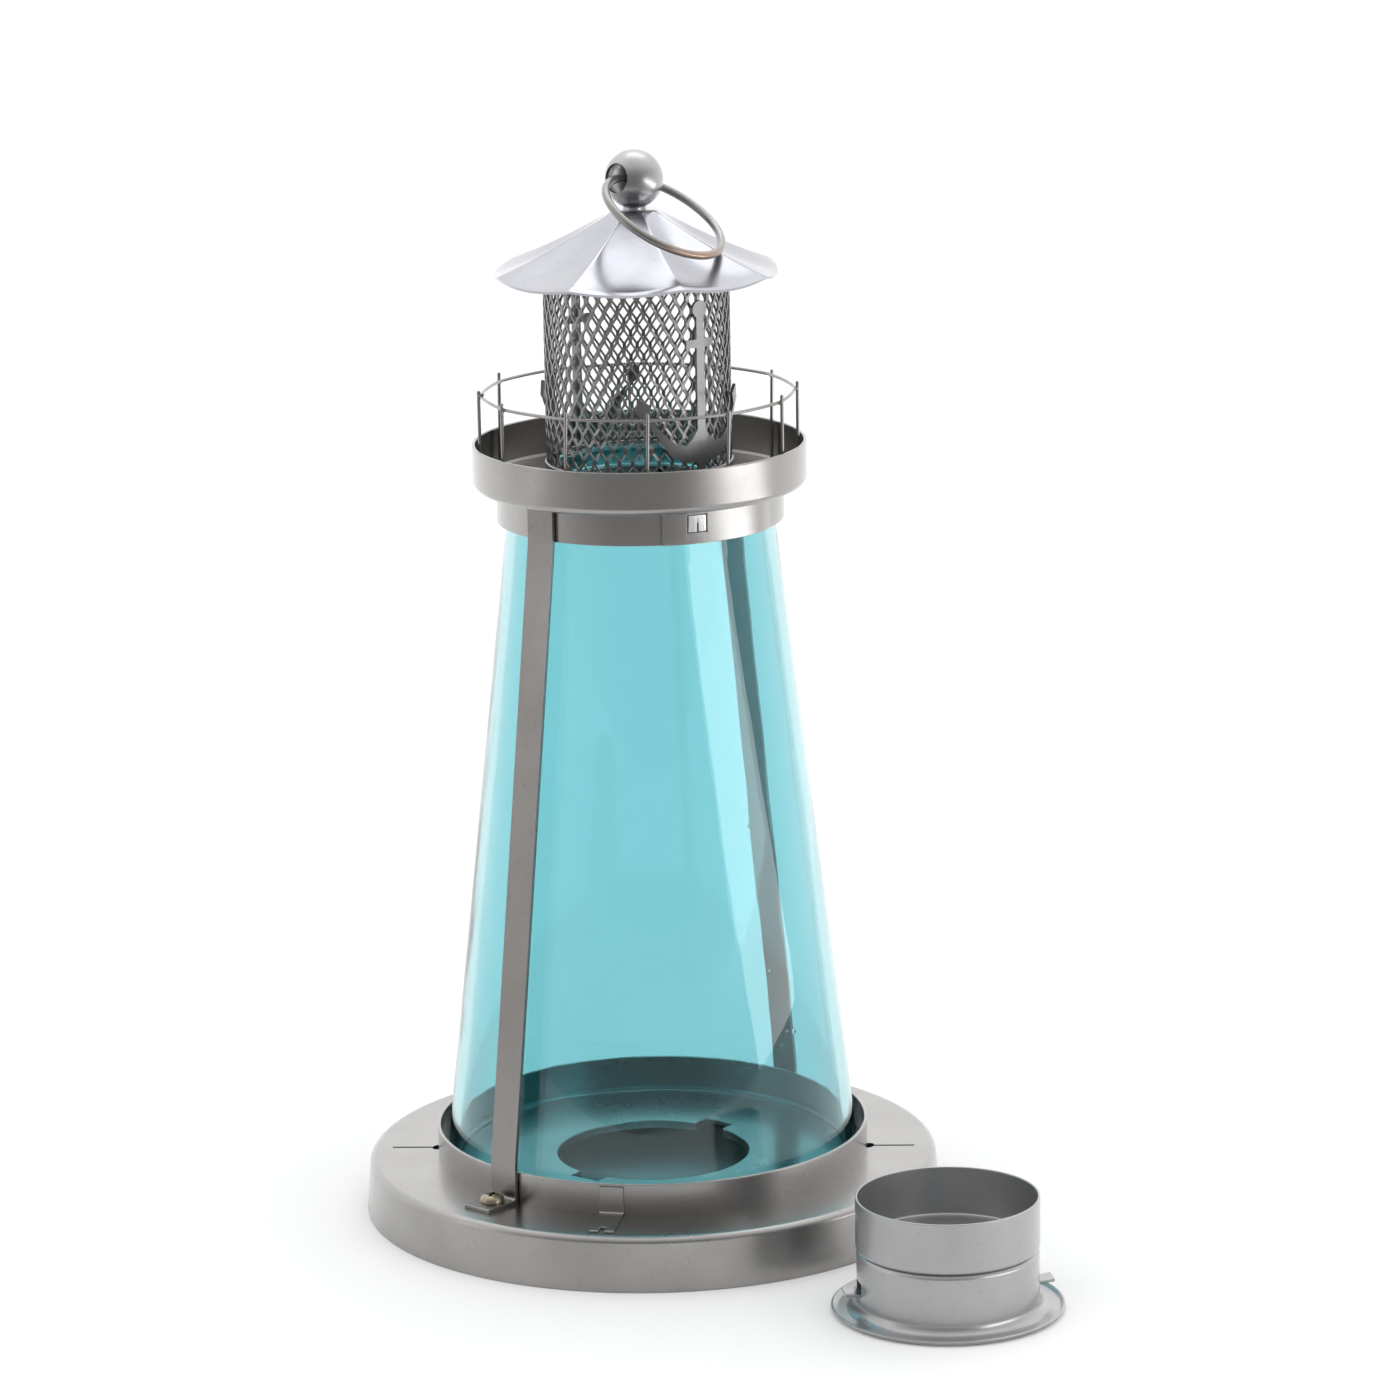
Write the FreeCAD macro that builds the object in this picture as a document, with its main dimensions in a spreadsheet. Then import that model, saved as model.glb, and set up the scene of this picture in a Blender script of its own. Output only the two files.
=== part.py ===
"""Lighthouse-shaped candle lantern, with its lift-out candle cup standing beside it.

The frame is in millimetres: +Z is up, the table is at Z = 0, the lantern's axis is the Z axis and
-Y is the front. An azimuth is measured from the front (-Y) round towards the right (+X), so 90
degrees is +X and 180 degrees is the back.

Every driving dimension is a cell of the sheet "Dims". The bodies, primitives and booleans are bound
to those cells; the few free-form sheets (roof, anchors) read the same cells here.
"""
import FreeCAD, Part
import Sketcher
import math
import os

from FreeCAD import Placement, Rotation, Vector

os.makedirs("parts", exist_ok=True)
doc = FreeCAD.newDocument("LighthouseLantern")

# ---------------------------------------------------------------------------------------------
# Driving dimensions
# ---------------------------------------------------------------------------------------------

DIMENSIONS = (
    # base pan
    ("foot_radius", 71.5, "lower edge of the base skirt"),
    ("skirt_radius", 70.4, "outside of the skirt"),
    ("shoulder_radius", 68.8, "where the flat top plate ends"),
    ("plate_top", 13.5, "top of the base plate"),
    ("pan_gauge", 0.9, "sheet of the base and gallery pans"),
    ("slit_width", 0.9, "radial relief slits in the plate"),
    ("slit_end", 65.2, "outer end of the slits"),
    # seat pan
    ("seat_radius", 53.5, "outside of the seat wall"),
    ("seat_gauge", 0.8, "sheet of the seat pan"),
    ("seat_floor", 12.9, "top of the seat floor"),
    ("seat_top", 21.3, "rim of the seat wall"),
    ("socket_radius", 23.75, "hole for the candle cup"),
    ("socket_lip", 10.7, "lower edge of the lip turned down round the hole"),
    ("notch_radius", 27.6, "reach of the bayonet notches"),
    ("notch_width", 8.4, "width of the bayonet notches"),
    # glass
    ("glass_foot_radius", 51.3, "outside of the glass at the seat"),
    ("glass_top_radius", 32.9, "outside of the glass under the band"),
    ("glass_wall", 2.6, "thickness of the glass"),
    ("glass_shoulder", 172.0, "height where the glass starts to close in"),
    ("glass_neck_radius", 21.4, "outside of the glass neck"),
    ("glass_neck_top", 188.2, "fire-polished mouth of the glass"),
    # straps, clips and fasteners
    ("strap_width", 8.0, "side straps"),
    ("strap_gauge", 1.0, "thickness of the side straps"),
    ("strap_foot_end", 64.2, "outer end of the strap's foot"),
    ("screw_circle", 58.6, "radius of the strap screws from the axis"),
    ("screw_radius", 1.5, "M3 shank"),
    ("screw_hole", 1.7, "clearance hole for M3"),
    ("screw_head", 2.9, "radius of the pan head"),
    ("clip_width", 6.0, "seat clips"),
    ("clip_gauge", 0.6, "thickness of the seat clips"),
    ("clip_end", 67.2, "outer end of a clip's foot"),
    ("clip_top", 20.6, "top of a clip's leg"),
    # neck band
    ("band_radius", 35.0, "outside of the neck band"),
    ("band_gauge", 0.8, "thickness of the neck band"),
    ("band_bottom", 174.2, "lower edge of the neck band"),
    ("band_lap", 0.7, "extra thickness where the band laps over itself"),
    ("band_lap_angle", 46.0, "length of the lap round the band"),
    ("window_width", 5.2, "lanced lock window"),
    ("window_height", 4.4, "lanced lock window"),
    # gallery
    ("gallery_bottom", 182.4, "underside of the gallery pan"),
    ("gallery_rim", 193.1, "rim of the gallery pan"),
    ("gallery_radius", 40.6, "outside of the gallery wall at its rim"),
    ("collar_radius", 22.0, "bore of the collar in the gallery floor"),
    ("collar_top", 187.4, "top of the collar"),
    ("post_circle", 38.6, "radius of the railing posts from the axis"),
    ("post_wire", 0.42, "radius of the post wire"),
    ("post_top", 206.8, "tops of the posts"),
    ("hoop_circle", 38.0, "radius of the handrail"),
    ("hoop_wire", 0.38, "radius of the handrail wire"),
    ("hoop_level", 205.0, "height of the handrail"),
    # lamp room
    ("mesh_radius", 22.7, "outside of the expanded-metal cylinder"),
    ("mesh_gauge", 0.8, "thickness of the expanded metal"),
    ("mesh_bottom", 188.8, "lower end of the expanded metal"),
    ("mesh_top", 236.2, "upper end of the expanded metal"),
    ("hem_radius", 23.1, "outside of the hem rings"),
    ("hem_height", 1.1, "height of the upper hem ring"),
    # anchors
    ("anchor_inner", 23.4, "inside of the anchors, which follow the mesh"),
    ("anchor_gauge", 0.8, "thickness of the anchors"),
    ("anchor_bottom", 189.4, "crown of the anchors"),
    ("anchor_eye", 228.2, "centre of the round eye at the top"),
    ("anchor_eye_radius", 2.1, "outside of the eye"),
    ("anchor_shank", 2.4, "width of the shank"),
    ("anchor_stock", 8.0, "length of the stock"),
    ("anchor_reach", 16.8, "half the spread of the arms along the curve"),
    # roof
    ("roof_gauge", 0.7, "sheet of the roof"),
    ("roof_crown_radius", 5.5, "flat crown"),
    ("roof_crown", 249.6, "height of the crown"),
    ("roof_edge_radius", 34.9, "eave at a ridge"),
    ("roof_edge", 235.2, "height of the eave at a ridge"),
    ("roof_scallop", 1.6, "how much shorter the eave is between ridges"),
    ("roof_flute", 1.9, "how far the sheet sags between ridges"),
    # finial and ring
    ("ball_radius", 7.1, "finial ball"),
    ("ball_gauge", 0.8, "wall of the hollow ball"),
    ("ball_level", 256.9, "height of the ball's centre"),
    ("ball_bore", 3.6, "radius of the cross hole"),
    ("stem_radius", 2.8, "collar under the ball"),
    ("ring_circle", 15.4, "mean radius of the hanging ring"),
    ("ring_wire", 1.0, "radius of the ring's wire"),
    ("ring_droop", 31.6, "how far below level the ring rests on the roof"),
    # candle cup
    ("cup_x", 68.9, "axis of the cup where it stands"),
    ("cup_y", 85.9, "distance of the cup's axis in front of the lantern's"),
    ("can_radius", 21.8, "outside of the can"),
    ("can_gauge", 0.6, "sheet of the can"),
    ("can_bottom", 15.4, "underside of the can"),
    ("can_rim", 27.9, "top of the can's plain rim"),
    ("sleeve_radius", 21.6, "outside of the sleeve"),
    ("sleeve_gauge", 0.6, "sheet of the sleeve"),
    ("sleeve_top", 15.4, "top edge of the sleeve"),
    ("flange_radius", 27.7, "edge of the sleeve's flange"),
    ("lug_reach", 25.3, "outer end of the bayonet lug"),
    ("lug_width", 5.0, "width of the bayonet lug"),
    ("lug_level", 4.9, "underside of the bayonet lug"),
)

# Azimuths in degrees from the front towards the right.
STRAP_AZIMUTH = -42.0
CLIP_AZIMUTH = -11.0
NOTCH_AZIMUTH = -38.0
SLIT_AZIMUTH = 87.0
BAND_SEAM_AZIMUTH = 8.0
WINDOW_AZIMUTH = 22.0
ANCHOR_AZIMUTH = 38.5
RIDGE_AZIMUTH = 18.0
FIRST_POST_AZIMUTH = 2.5
BORE_AZIMUTH = -44.0
BORE_TILT = 8.0
RING_AZIMUTH = 46.0
RING_SWING = -9.0
LUG_AZIMUTH = 99.0

POST_COUNT = 12
RIDGE_COUNT = 8

sheet = doc.addObject("Spreadsheet::Sheet", "Dims")
for row, (alias, size, meaning) in enumerate(DIMENSIONS, start=1):
    sheet.set(f"A{row}", alias)
    sheet.set(f"B{row}", str(size))
    sheet.setAlias(f"B{row}", alias)
    sheet.set(f"C{row}", meaning)
doc.recompute()


class Size:
    """A value worked out from the sheet, with the formula that binds an object to it."""

    def __init__(self, value, formula):
        self.value = float(value)
        self.formula = formula

    def _join(self, other, sign, value):
        right = other.formula if isinstance(other, Size) else repr(float(other))
        return Size(value, f"({self.formula} {sign} {right})")

    def __add__(self, other):
        return self._join(other, "+", self.value + number(other))

    def __sub__(self, other):
        return self._join(other, "-", self.value - number(other))

    def __mul__(self, other):
        return self._join(other, "*", self.value * number(other))


def number(size):
    """The plain number in a Size or a number."""
    return size.value if isinstance(size, Size) else float(size)


def dim(alias):
    """The sheet's dimension of that name."""
    return Size(sheet.get(alias), f"Dims.{alias}")


def bind(thing, field, size):
    """Drive one property or named constraint of an object from the sheet."""
    if isinstance(size, Size):
        thing.setExpression(field, size.formula)
    else:
        setattr(thing, field, size)


def turn_to(azimuth):
    """Turns local +X to face an azimuth."""
    return Rotation(Vector(0, 0, 1), azimuth - 90.0)


def facing(azimuth):
    """Unit vector that points level along an azimuth."""
    return turn_to(azimuth).multVec(Vector(1, 0, 0))


finished = []


def finish(thing, label, placement=None):
    """Names a sub-part and puts it in place."""
    thing.Label = label
    if placement is not None:
        thing.Placement = placement
    finished.append(thing)
    return thing


# ---------------------------------------------------------------------------------------------
# Ways of making a piece
# ---------------------------------------------------------------------------------------------


def origin_plane(body, role):
    """One of a body's own origin planes."""
    return [feature for feature in body.Origin.OriginFeatures if feature.Role == role][0]


def new_sketch(body, name, role):
    """A sketch on one of the body's own planes."""
    sketch = body.newObject("Sketcher::SketchObject", name)
    sketch.AttachmentSupport = [(origin_plane(body, role), "")]
    sketch.MapMode = "FlatFace"
    return sketch


def draw_outline(sketch, corners):
    """Closed outline with every corner held to the sheet from the sketch's origin."""
    points = [Vector(number(a), number(b), 0) for a, b in corners]
    count = len(points)
    for index in range(count):
        sketch.addGeometry(Part.LineSegment(points[index], points[(index + 1) % count]), False)
    for index in range(count):
        sketch.addConstraint(Sketcher.Constraint("Coincident", index, 2, (index + 1) % count, 1))
    for index, corner in enumerate(corners):
        for kind, size, axis in (("DistanceX", corner[0], -2), ("DistanceY", corner[1], -1)):
            if number(size) == 0.0:
                sketch.addConstraint(Sketcher.Constraint("PointOnObject", index, 1, axis))
                continue
            held = sketch.addConstraint(Sketcher.Constraint(kind, -1, 1, index, 1, number(size)))
            if isinstance(size, Size):
                sketch.renameConstraint(held, f"{kind}{index}")
                sketch.setExpression(f"Constraints.{kind}{index}", size.formula)


def turned_body(label, outline):
    """A body turned about Z from an outline of (radius, height) corners."""
    body = doc.addObject("PartDesign::Body", label)
    sketch = new_sketch(body, f"{label}_outline", "XZ_Plane")
    draw_outline(sketch, outline)
    turned = body.newObject("PartDesign::Revolution", f"{label}_turned")
    turned.Profile = sketch
    turned.ReferenceAxis = (sketch, ["V_Axis"])
    turned.Angle = 360.0
    sketch.Visibility = False
    body.Tip = turned
    doc.recompute()
    return body


def strip_body(label, outline, width):
    """A bent strip: its side outline of (radius, height) corners, padded to its width."""
    body = doc.addObject("PartDesign::Body", label)
    sketch = new_sketch(body, f"{label}_outline", "XZ_Plane")
    draw_outline(sketch, outline)
    pad = body.newObject("PartDesign::Pad", f"{label}_pad")
    pad.Profile = sketch
    pad.Midplane = True
    bind(pad, "Length", width)
    body.Tip = pad
    doc.recompute()
    return body


def pocket_through(body, name, draw):
    """Cuts a sketch drawn on the XY plane right through the body, above and below it."""
    before = body.Shape.Volume
    sketch = new_sketch(body, f"{name}_sketch", "XY_Plane")
    draw(sketch)
    pocket = body.newObject("PartDesign::Pocket", name)
    pocket.Profile = sketch
    pocket.Midplane = True
    pocket.Length = 600.0
    body.Tip = pocket
    doc.recompute()
    if not body.Shape.Volume < before - 0.01:
        raise RuntimeError(f"{name} cut nothing")
    return pocket


def pattern_round(body, feature, count):
    """Repeats a feature evenly about Z."""
    before = body.Shape.Volume
    pattern = body.newObject("PartDesign::PolarPattern", f"{feature.Name}_round")
    pattern.Originals = [feature]
    pattern.Axis = (origin_plane(body, "Z_Axis"), [""])
    pattern.Angle = 360.0
    pattern.Occurrences = count
    body.Tip = pattern
    doc.recompute()
    if not body.Shape.Volume < before - 0.01:
        raise RuntimeError(f"{pattern.Name} repeated nothing")
    return pattern


def draw_circle(sketch, across, radius):
    """Circle centred on the sketch's X axis."""
    middle = Vector(number(across), 0, 0)
    circle = sketch.addGeometry(Part.Circle(middle, Vector(0, 0, 1), number(radius)), False)
    sketch.addConstraint(Sketcher.Constraint("PointOnObject", circle, 3, -1))
    held = sketch.addConstraint(Sketcher.Constraint("DistanceX", -1, 1, circle, 3, middle.x))
    sketch.renameConstraint(held, "Across")
    sketch.setExpression("Constraints.Across", across.formula)
    held = sketch.addConstraint(Sketcher.Constraint("Radius", circle, number(radius)))
    sketch.renameConstraint(held, "Bore")
    sketch.setExpression("Constraints.Bore", radius.formula)


def draw_bar(sketch, start, end, width):
    """Rectangle along the sketch's X axis, centred on it."""
    half = number(width) / 2.0
    corners = [(number(start), -half), (number(end), -half), (number(end), half), (number(start), half)]
    points = [Vector(x, y, 0) for x, y in corners]
    for index in range(4):
        sketch.addGeometry(Part.LineSegment(points[index], points[(index + 1) % 4]), False)
    for index in range(4):
        sketch.addConstraint(Sketcher.Constraint("Coincident", index, 2, (index + 1) % 4, 1))
    for index in (0, 2):
        sketch.addConstraint(Sketcher.Constraint("Horizontal", index))
    sketch.addConstraint(Sketcher.Constraint("Vertical", 1))
    sketch.addConstraint(Sketcher.Constraint("Symmetric", 0, 1, 3, 1, -1))
    for name, first, second, value, size in (
        ("Start", (-1, 1), (0, 1), number(start), start),
        ("Finish", (-1, 1), (0, 2), number(end), end),
    ):
        held = sketch.addConstraint(Sketcher.Constraint("DistanceX", *first, *second, value))
        sketch.renameConstraint(held, name)
        if isinstance(size, Size):
            sketch.setExpression(f"Constraints.{name}", size.formula)
    held = sketch.addConstraint(Sketcher.Constraint("DistanceY", 0, 1, 3, 1, 2.0 * half))
    sketch.renameConstraint(held, "Wide")
    sketch.setExpression("Constraints.Wide", width.formula)


def cylinder(name, radius, height, at=None, angle=360.0):
    """Part primitive bound to the sheet."""
    thing = doc.addObject("Part::Cylinder", name)
    bind(thing, "Radius", radius)
    bind(thing, "Height", height)
    thing.Angle = angle
    if at is not None:
        thing.Placement = at
    return thing


def block(name, length, width, height, at):
    """Part box bound to the sheet; its Placement puts its low corner."""
    thing = doc.addObject("Part::Box", name)
    bind(thing, "Length", length)
    bind(thing, "Width", width)
    bind(thing, "Height", height)
    thing.Placement = at
    return thing


def cut(name, base, tool):
    """Part boolean: base without tool."""
    thing = doc.addObject("Part::Cut", name)
    thing.Base = base
    thing.Tool = tool
    return thing


def fuse(name, *pieces):
    """Part boolean: the pieces as one."""
    thing = doc.addObject("Part::MultiFuse", name)
    thing.Shapes = list(pieces)
    return thing


# ---------------------------------------------------------------------------------------------
# Base
# ---------------------------------------------------------------------------------------------

plate_top = dim("plate_top")
pan_gauge = dim("pan_gauge")
plate_under = plate_top - pan_gauge
foot = dim("foot_radius")
skirt = dim("skirt_radius")
shoulder = dim("shoulder_radius")
seat = dim("seat_radius")

# Inverted pan: a skirt that flares a little to its foot, a small shoulder and a flat plate.
base_pan = turned_body(
    "base_pan_pressed",
    [
        (seat, plate_under),
        (shoulder - 0.2, plate_under),
        (skirt - pan_gauge - 0.2, plate_under - 0.3),
        (skirt - pan_gauge, plate_under - 1.0),
        (foot - pan_gauge, 0.0),
        (foot, 0.0),
        (skirt, plate_top - 1.7),
        (skirt - 0.45, plate_top - 0.5),
        (shoulder, plate_top),
        (seat, plate_top),
    ],
)
slit = pocket_through(
    base_pan,
    "relief_slit",
    lambda sketch: draw_bar(sketch, seat - 1.0, dim("slit_end"), dim("slit_width")),
)
pattern_round(base_pan, slit, 2)
base_pan.Placement = Placement(Vector(0, 0, 0), turn_to(SLIT_AZIMUTH))
strap_holes = [
    cylinder(
        f"plate_hole_{side}",
        dim("screw_hole"),
        20.0,
        Placement(facing(azimuth) * number(dim("screw_circle")), Rotation()),
    )
    for side, azimuth in (("front", STRAP_AZIMUTH), ("rear", STRAP_AZIMUTH + 180.0))
]
finish(cut("base_pan_drilled", base_pan, fuse("plate_holes", *strap_holes)), "base_pan")

# Seat pan: a wall that locates the glass, a floor, and a socket with a lip and two bayonet notches.
seat_gauge = dim("seat_gauge")
seat_floor = dim("seat_floor")
socket = dim("socket_radius")
seat_pan = turned_body(
    "seat_pan",
    [
        (socket, dim("socket_lip")),
        (socket + seat_gauge, dim("socket_lip")),
        (socket + seat_gauge, seat_floor - seat_gauge),
        (seat, seat_floor - seat_gauge),
        (seat, dim("seat_top") - 0.3),
        (seat - 0.25, dim("seat_top")),
        (seat - seat_gauge + 0.25, dim("seat_top")),
        (seat - seat_gauge, dim("seat_top") - 0.3),
        (seat - seat_gauge, seat_floor),
        (socket, seat_floor),
    ],
)
notch = pocket_through(
    seat_pan,
    "bayonet_notch",
    lambda sketch: draw_bar(sketch, socket - 4.0, dim("notch_radius"), dim("notch_width")),
)
pattern_round(seat_pan, notch, 2)
finish(seat_pan, "seat_pan", Placement(Vector(0, 0, 0), turn_to(NOTCH_AZIMUTH)))

# Spring clips that hold the seat wall to the plate: a leg up the wall and a long foot.
clip_gauge = dim("clip_gauge")
for side, azimuth in (("front", CLIP_AZIMUTH), ("rear", CLIP_AZIMUTH + 180.0)):
    clip = strip_body(
        f"seat_clip_{side}",
        [
            (seat + 0.05, plate_top),
            (dim("clip_end"), plate_top),
            (dim("clip_end"), plate_top + clip_gauge),
            (seat + clip_gauge + 0.35, plate_top + clip_gauge),
            (seat + clip_gauge + 0.05, plate_top + clip_gauge + 0.3),
            (seat + clip_gauge + 0.05, dim("clip_top")),
            (seat + 0.05, dim("clip_top")),
        ],
        dim("clip_width"),
    )
    finish(clip, f"seat_clip_{side}", Placement(Vector(0, 0, 0), turn_to(azimuth)))

# ---------------------------------------------------------------------------------------------
# Glass
# ---------------------------------------------------------------------------------------------

glass_wall = dim("glass_wall")
glass_foot = dim("glass_foot_radius")
glass_top = dim("glass_top_radius")
glass_neck = dim("glass_neck_radius")
glass_bend = dim("glass_shoulder")
under_gallery = dim("gallery_bottom")

# Tapered chimney, open at both ends: it stands on the seat floor and its neck rises through the
# gallery's collar, which centres it.
chimney = turned_body(
    "glass_chimney",
    [
        (glass_foot - glass_wall, seat_floor + 0.4),
        (glass_foot - glass_wall + 0.5, seat_floor),
        (glass_foot - 0.5, seat_floor),
        (glass_foot, seat_floor + 0.5),
        (glass_top, glass_bend),
        (glass_top - 0.4, glass_bend + 4.0),
        (glass_top - 1.7, glass_bend + 7.0),
        (glass_top - 4.0, glass_bend + 9.1),
        (glass_top - 7.5, glass_bend + 10.0),
        (glass_neck + 0.6, glass_bend + 10.2),
        (glass_neck, glass_bend + 10.9),
        (glass_neck, dim("glass_neck_top") - 0.7),
        (glass_neck - 0.7, dim("glass_neck_top")),
        (glass_neck - glass_wall + 0.7, dim("glass_neck_top")),
        (glass_neck - glass_wall, dim("glass_neck_top") - 0.7),
        (glass_neck - glass_wall, glass_bend + 9.0),
        (glass_neck - glass_wall + 1.2, glass_bend + 7.6),
        (glass_top - 7.9, glass_bend + 7.4),
        (glass_top - 5.2, glass_bend + 6.6),
        (glass_top - 3.5, glass_bend + 4.9),
        (glass_top - glass_wall - 0.2, glass_bend + 2.4),
        (glass_top - glass_wall, glass_bend - 0.5),
    ],
)
finish(chimney, "glass_chimney")

# ---------------------------------------------------------------------------------------------
# Side straps with their screws and nuts
# ---------------------------------------------------------------------------------------------

strap_gauge = dim("strap_gauge")
band = dim("band_radius")
strap_in_top = band + 0.05
strap_in_foot = seat + 0.15
strap_outline = [
    (strap_in_top, under_gallery - 0.2),
    (strap_in_top, dim("band_bottom") - 0.4),
    (strap_in_foot, dim("seat_top") + 1.6),
    (strap_in_foot, plate_top),
    (dim("strap_foot_end"), plate_top),
    (dim("strap_foot_end"), plate_top + strap_gauge),
    (strap_in_foot + strap_gauge + 1.0, plate_top + strap_gauge),
    (strap_in_foot + strap_gauge + 0.3, plate_top + strap_gauge + 0.3),
    (strap_in_foot + strap_gauge, plate_top + strap_gauge + 1.0),
    (strap_in_foot + strap_gauge, dim("seat_top") + 1.7),
    (strap_in_top + strap_gauge, dim("band_bottom") - 0.3),
    (strap_in_top + strap_gauge, under_gallery - 0.2),
]
screw_outline = [
    (0.0, plate_top - 4.2),
    (dim("screw_radius") - 0.3, plate_top - 4.2),
    (dim("screw_radius"), plate_top - 3.9),
    (dim("screw_radius"), plate_top + strap_gauge),
    (dim("screw_head"), plate_top + strap_gauge),
    (dim("screw_head"), plate_top + strap_gauge + 0.7),
    (dim("screw_head") - 0.5, plate_top + strap_gauge + 1.35),
    (dim("screw_head") - 1.4, plate_top + strap_gauge + 1.75),
    (0.0, plate_top + strap_gauge + 1.9),
]
for side, azimuth in (("front", STRAP_AZIMUTH), ("rear", STRAP_AZIMUTH + 180.0)):
    strap = strip_body(f"strap_{side}", strap_outline, dim("strap_width"))
    pocket_through(
        strap,
        f"strap_hole_{side}",
        lambda sketch: draw_circle(sketch, dim("screw_circle"), dim("screw_hole")),
    )
    finish(strap, f"strap_{side}", Placement(Vector(0, 0, 0), turn_to(azimuth)))

    at_screw = facing(azimuth) * number(dim("screw_circle"))
    shank = turned_body(f"screw_{side}_turned", screw_outline)
    recess_low = number(plate_top + strap_gauge) + 1.0
    bars = [
        block(
            f"recess_{side}_{index}",
            2.8,
            0.7,
            2.0,
            Placement(
                Rotation(Vector(0, 0, 1), 90.0 * index).multVec(Vector(-1.4, -0.35, 0))
                + Vector(0, 0, recess_low),
                Rotation(Vector(0, 0, 1), 90.0 * index),
            ),
        )
        for index in range(2)
    ]
    screw = cut(f"screw_{side}", shank, fuse(f"recess_{side}", *bars))
    finish(screw, f"strap_screw_{side}", Placement(at_screw, turn_to(azimuth + 20.0)))

    hexagon = doc.addObject("Part::Prism", f"hexagon_{side}")
    hexagon.Polygon = 6
    bind(hexagon, "Circumradius", dim("screw_radius") * 2.1)
    hexagon.Height = 2.4
    thread = cylinder(f"nut_bore_{side}", dim("screw_radius"), 2.4)
    nut = cut(f"nut_{side}", hexagon, thread)
    nut_level = Vector(0, 0, number(plate_under) - 2.4)
    finish(nut, f"strap_nut_{side}", Placement(at_screw + nut_level, turn_to(azimuth)))

# ---------------------------------------------------------------------------------------------
# Neck band
# ---------------------------------------------------------------------------------------------

band_gauge = dim("band_gauge")
band_bottom = dim("band_bottom")
band_height = under_gallery - band_bottom
lap = dim("band_lap")

band_ring = fuse(
    "band_sheet",
    cylinder("band_round", band, band_height),
    cylinder(
        "band_over",
        band + lap,
        band_height - 0.2,
        Placement(Vector(0, 0, 0), turn_to(BAND_SEAM_AZIMUTH)),
        number(dim("band_lap_angle")),
    ),
)
band_hollow = cut("band_hollow", band_ring, cylinder("band_bore", band - band_gauge, band_height))
# The lock window is cut through the lapped strip; its tab is a piece of its own.
window_level = number(band_height) - number(dim("window_height")) - 0.7
window = block(
    "band_window",
    number(lap) + 1.0,
    dim("window_width"),
    dim("window_height"),
    Placement(
        turn_to(WINDOW_AZIMUTH).multVec(
            Vector(number(band), -number(dim("window_width")) / 2.0, window_level)
        ),
        turn_to(WINDOW_AZIMUTH),
    ),
)
at_band = Placement(Vector(0, 0, number(band_bottom)), Rotation())
finish(cut("band_windowed", band_hollow, window), "neck_band", at_band)

tab = block(
    "band_tab",
    0.5,
    dim("window_width") - 1.6,
    dim("window_height") - 1.0,
    Placement(),
)
tab_at = turn_to(WINDOW_AZIMUTH).multVec(
    Vector(number(band) + 0.12, -number(dim("window_width")) / 2.0 + 0.7, 0)
)
tab_at.z = number(band_bottom) + window_level + 0.5
finish(tab, "neck_band_tab", Placement(tab_at, turn_to(WINDOW_AZIMUTH)))

# ---------------------------------------------------------------------------------------------
# Gallery pan and railing
# ---------------------------------------------------------------------------------------------

gallery = dim("gallery_radius")
gallery_floor = under_gallery + pan_gauge
collar = dim("collar_radius")
gallery_pan = turned_body(
    "gallery_pan",
    [
        (collar, under_gallery),
        (gallery - 1.9, under_gallery),
        (gallery - 0.6, under_gallery + 0.5),
        (gallery, under_gallery + 1.8),
        (gallery, dim("gallery_rim")),
        (gallery - pan_gauge, dim("gallery_rim")),
        (gallery - pan_gauge, gallery_floor + 1.1),
        (gallery - pan_gauge - 0.3, gallery_floor + 0.3),
        (gallery - pan_gauge - 1.1, gallery_floor),
        (collar + pan_gauge, gallery_floor),
        (collar + pan_gauge, dim("collar_top")),
        (collar, dim("collar_top")),
    ],
)
finish(gallery_pan, "gallery_pan")

# Twelve wire posts stand on the gallery floor inside its wall.
post_wire = dim("post_wire")
post_feet = []
for index in range(POST_COUNT):
    azimuth = FIRST_POST_AZIMUTH + 360.0 / POST_COUNT * index
    at = facing(azimuth) * number(dim("post_circle")) + Vector(0, 0, number(gallery_floor))
    post = cylinder(f"post_{index + 1:02d}", post_wire, dim("post_top") - gallery_floor)
    post.Placement = Placement(at, Rotation())
    post_feet.append(at)
    # The foot is ground to the bend of the pan that it stands in.
    finish(cut(f"post_{index + 1:02d}_ground", post, gallery_pan), f"railing_post_{index + 1:02d}")

# The handrail is welded to the posts, so the posts' wires are taken out of it.
hoop_round = doc.addObject("Part::Torus", "hoop_round")
bind(hoop_round, "Radius1", dim("hoop_circle"))
bind(hoop_round, "Radius2", dim("hoop_wire"))
hoop_round.Placement = Placement(Vector(0, 0, number(dim("hoop_level"))), Rotation())
post_cutters = [
    cylinder(f"weld_{index + 1:02d}", post_wire, 6.0)
    for index in range(POST_COUNT)
]
for cutter, foot in zip(post_cutters, post_feet):
    cutter.Placement = Placement(
        Vector(foot.x, foot.y, number(dim("hoop_level")) - 3.0), Rotation()
    )
finish(cut("hoop", hoop_round, fuse("welds", *post_cutters)), "railing_hoop")

# ---------------------------------------------------------------------------------------------
# Lamp room: expanded-metal cylinder between two hem rings
# ---------------------------------------------------------------------------------------------

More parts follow.
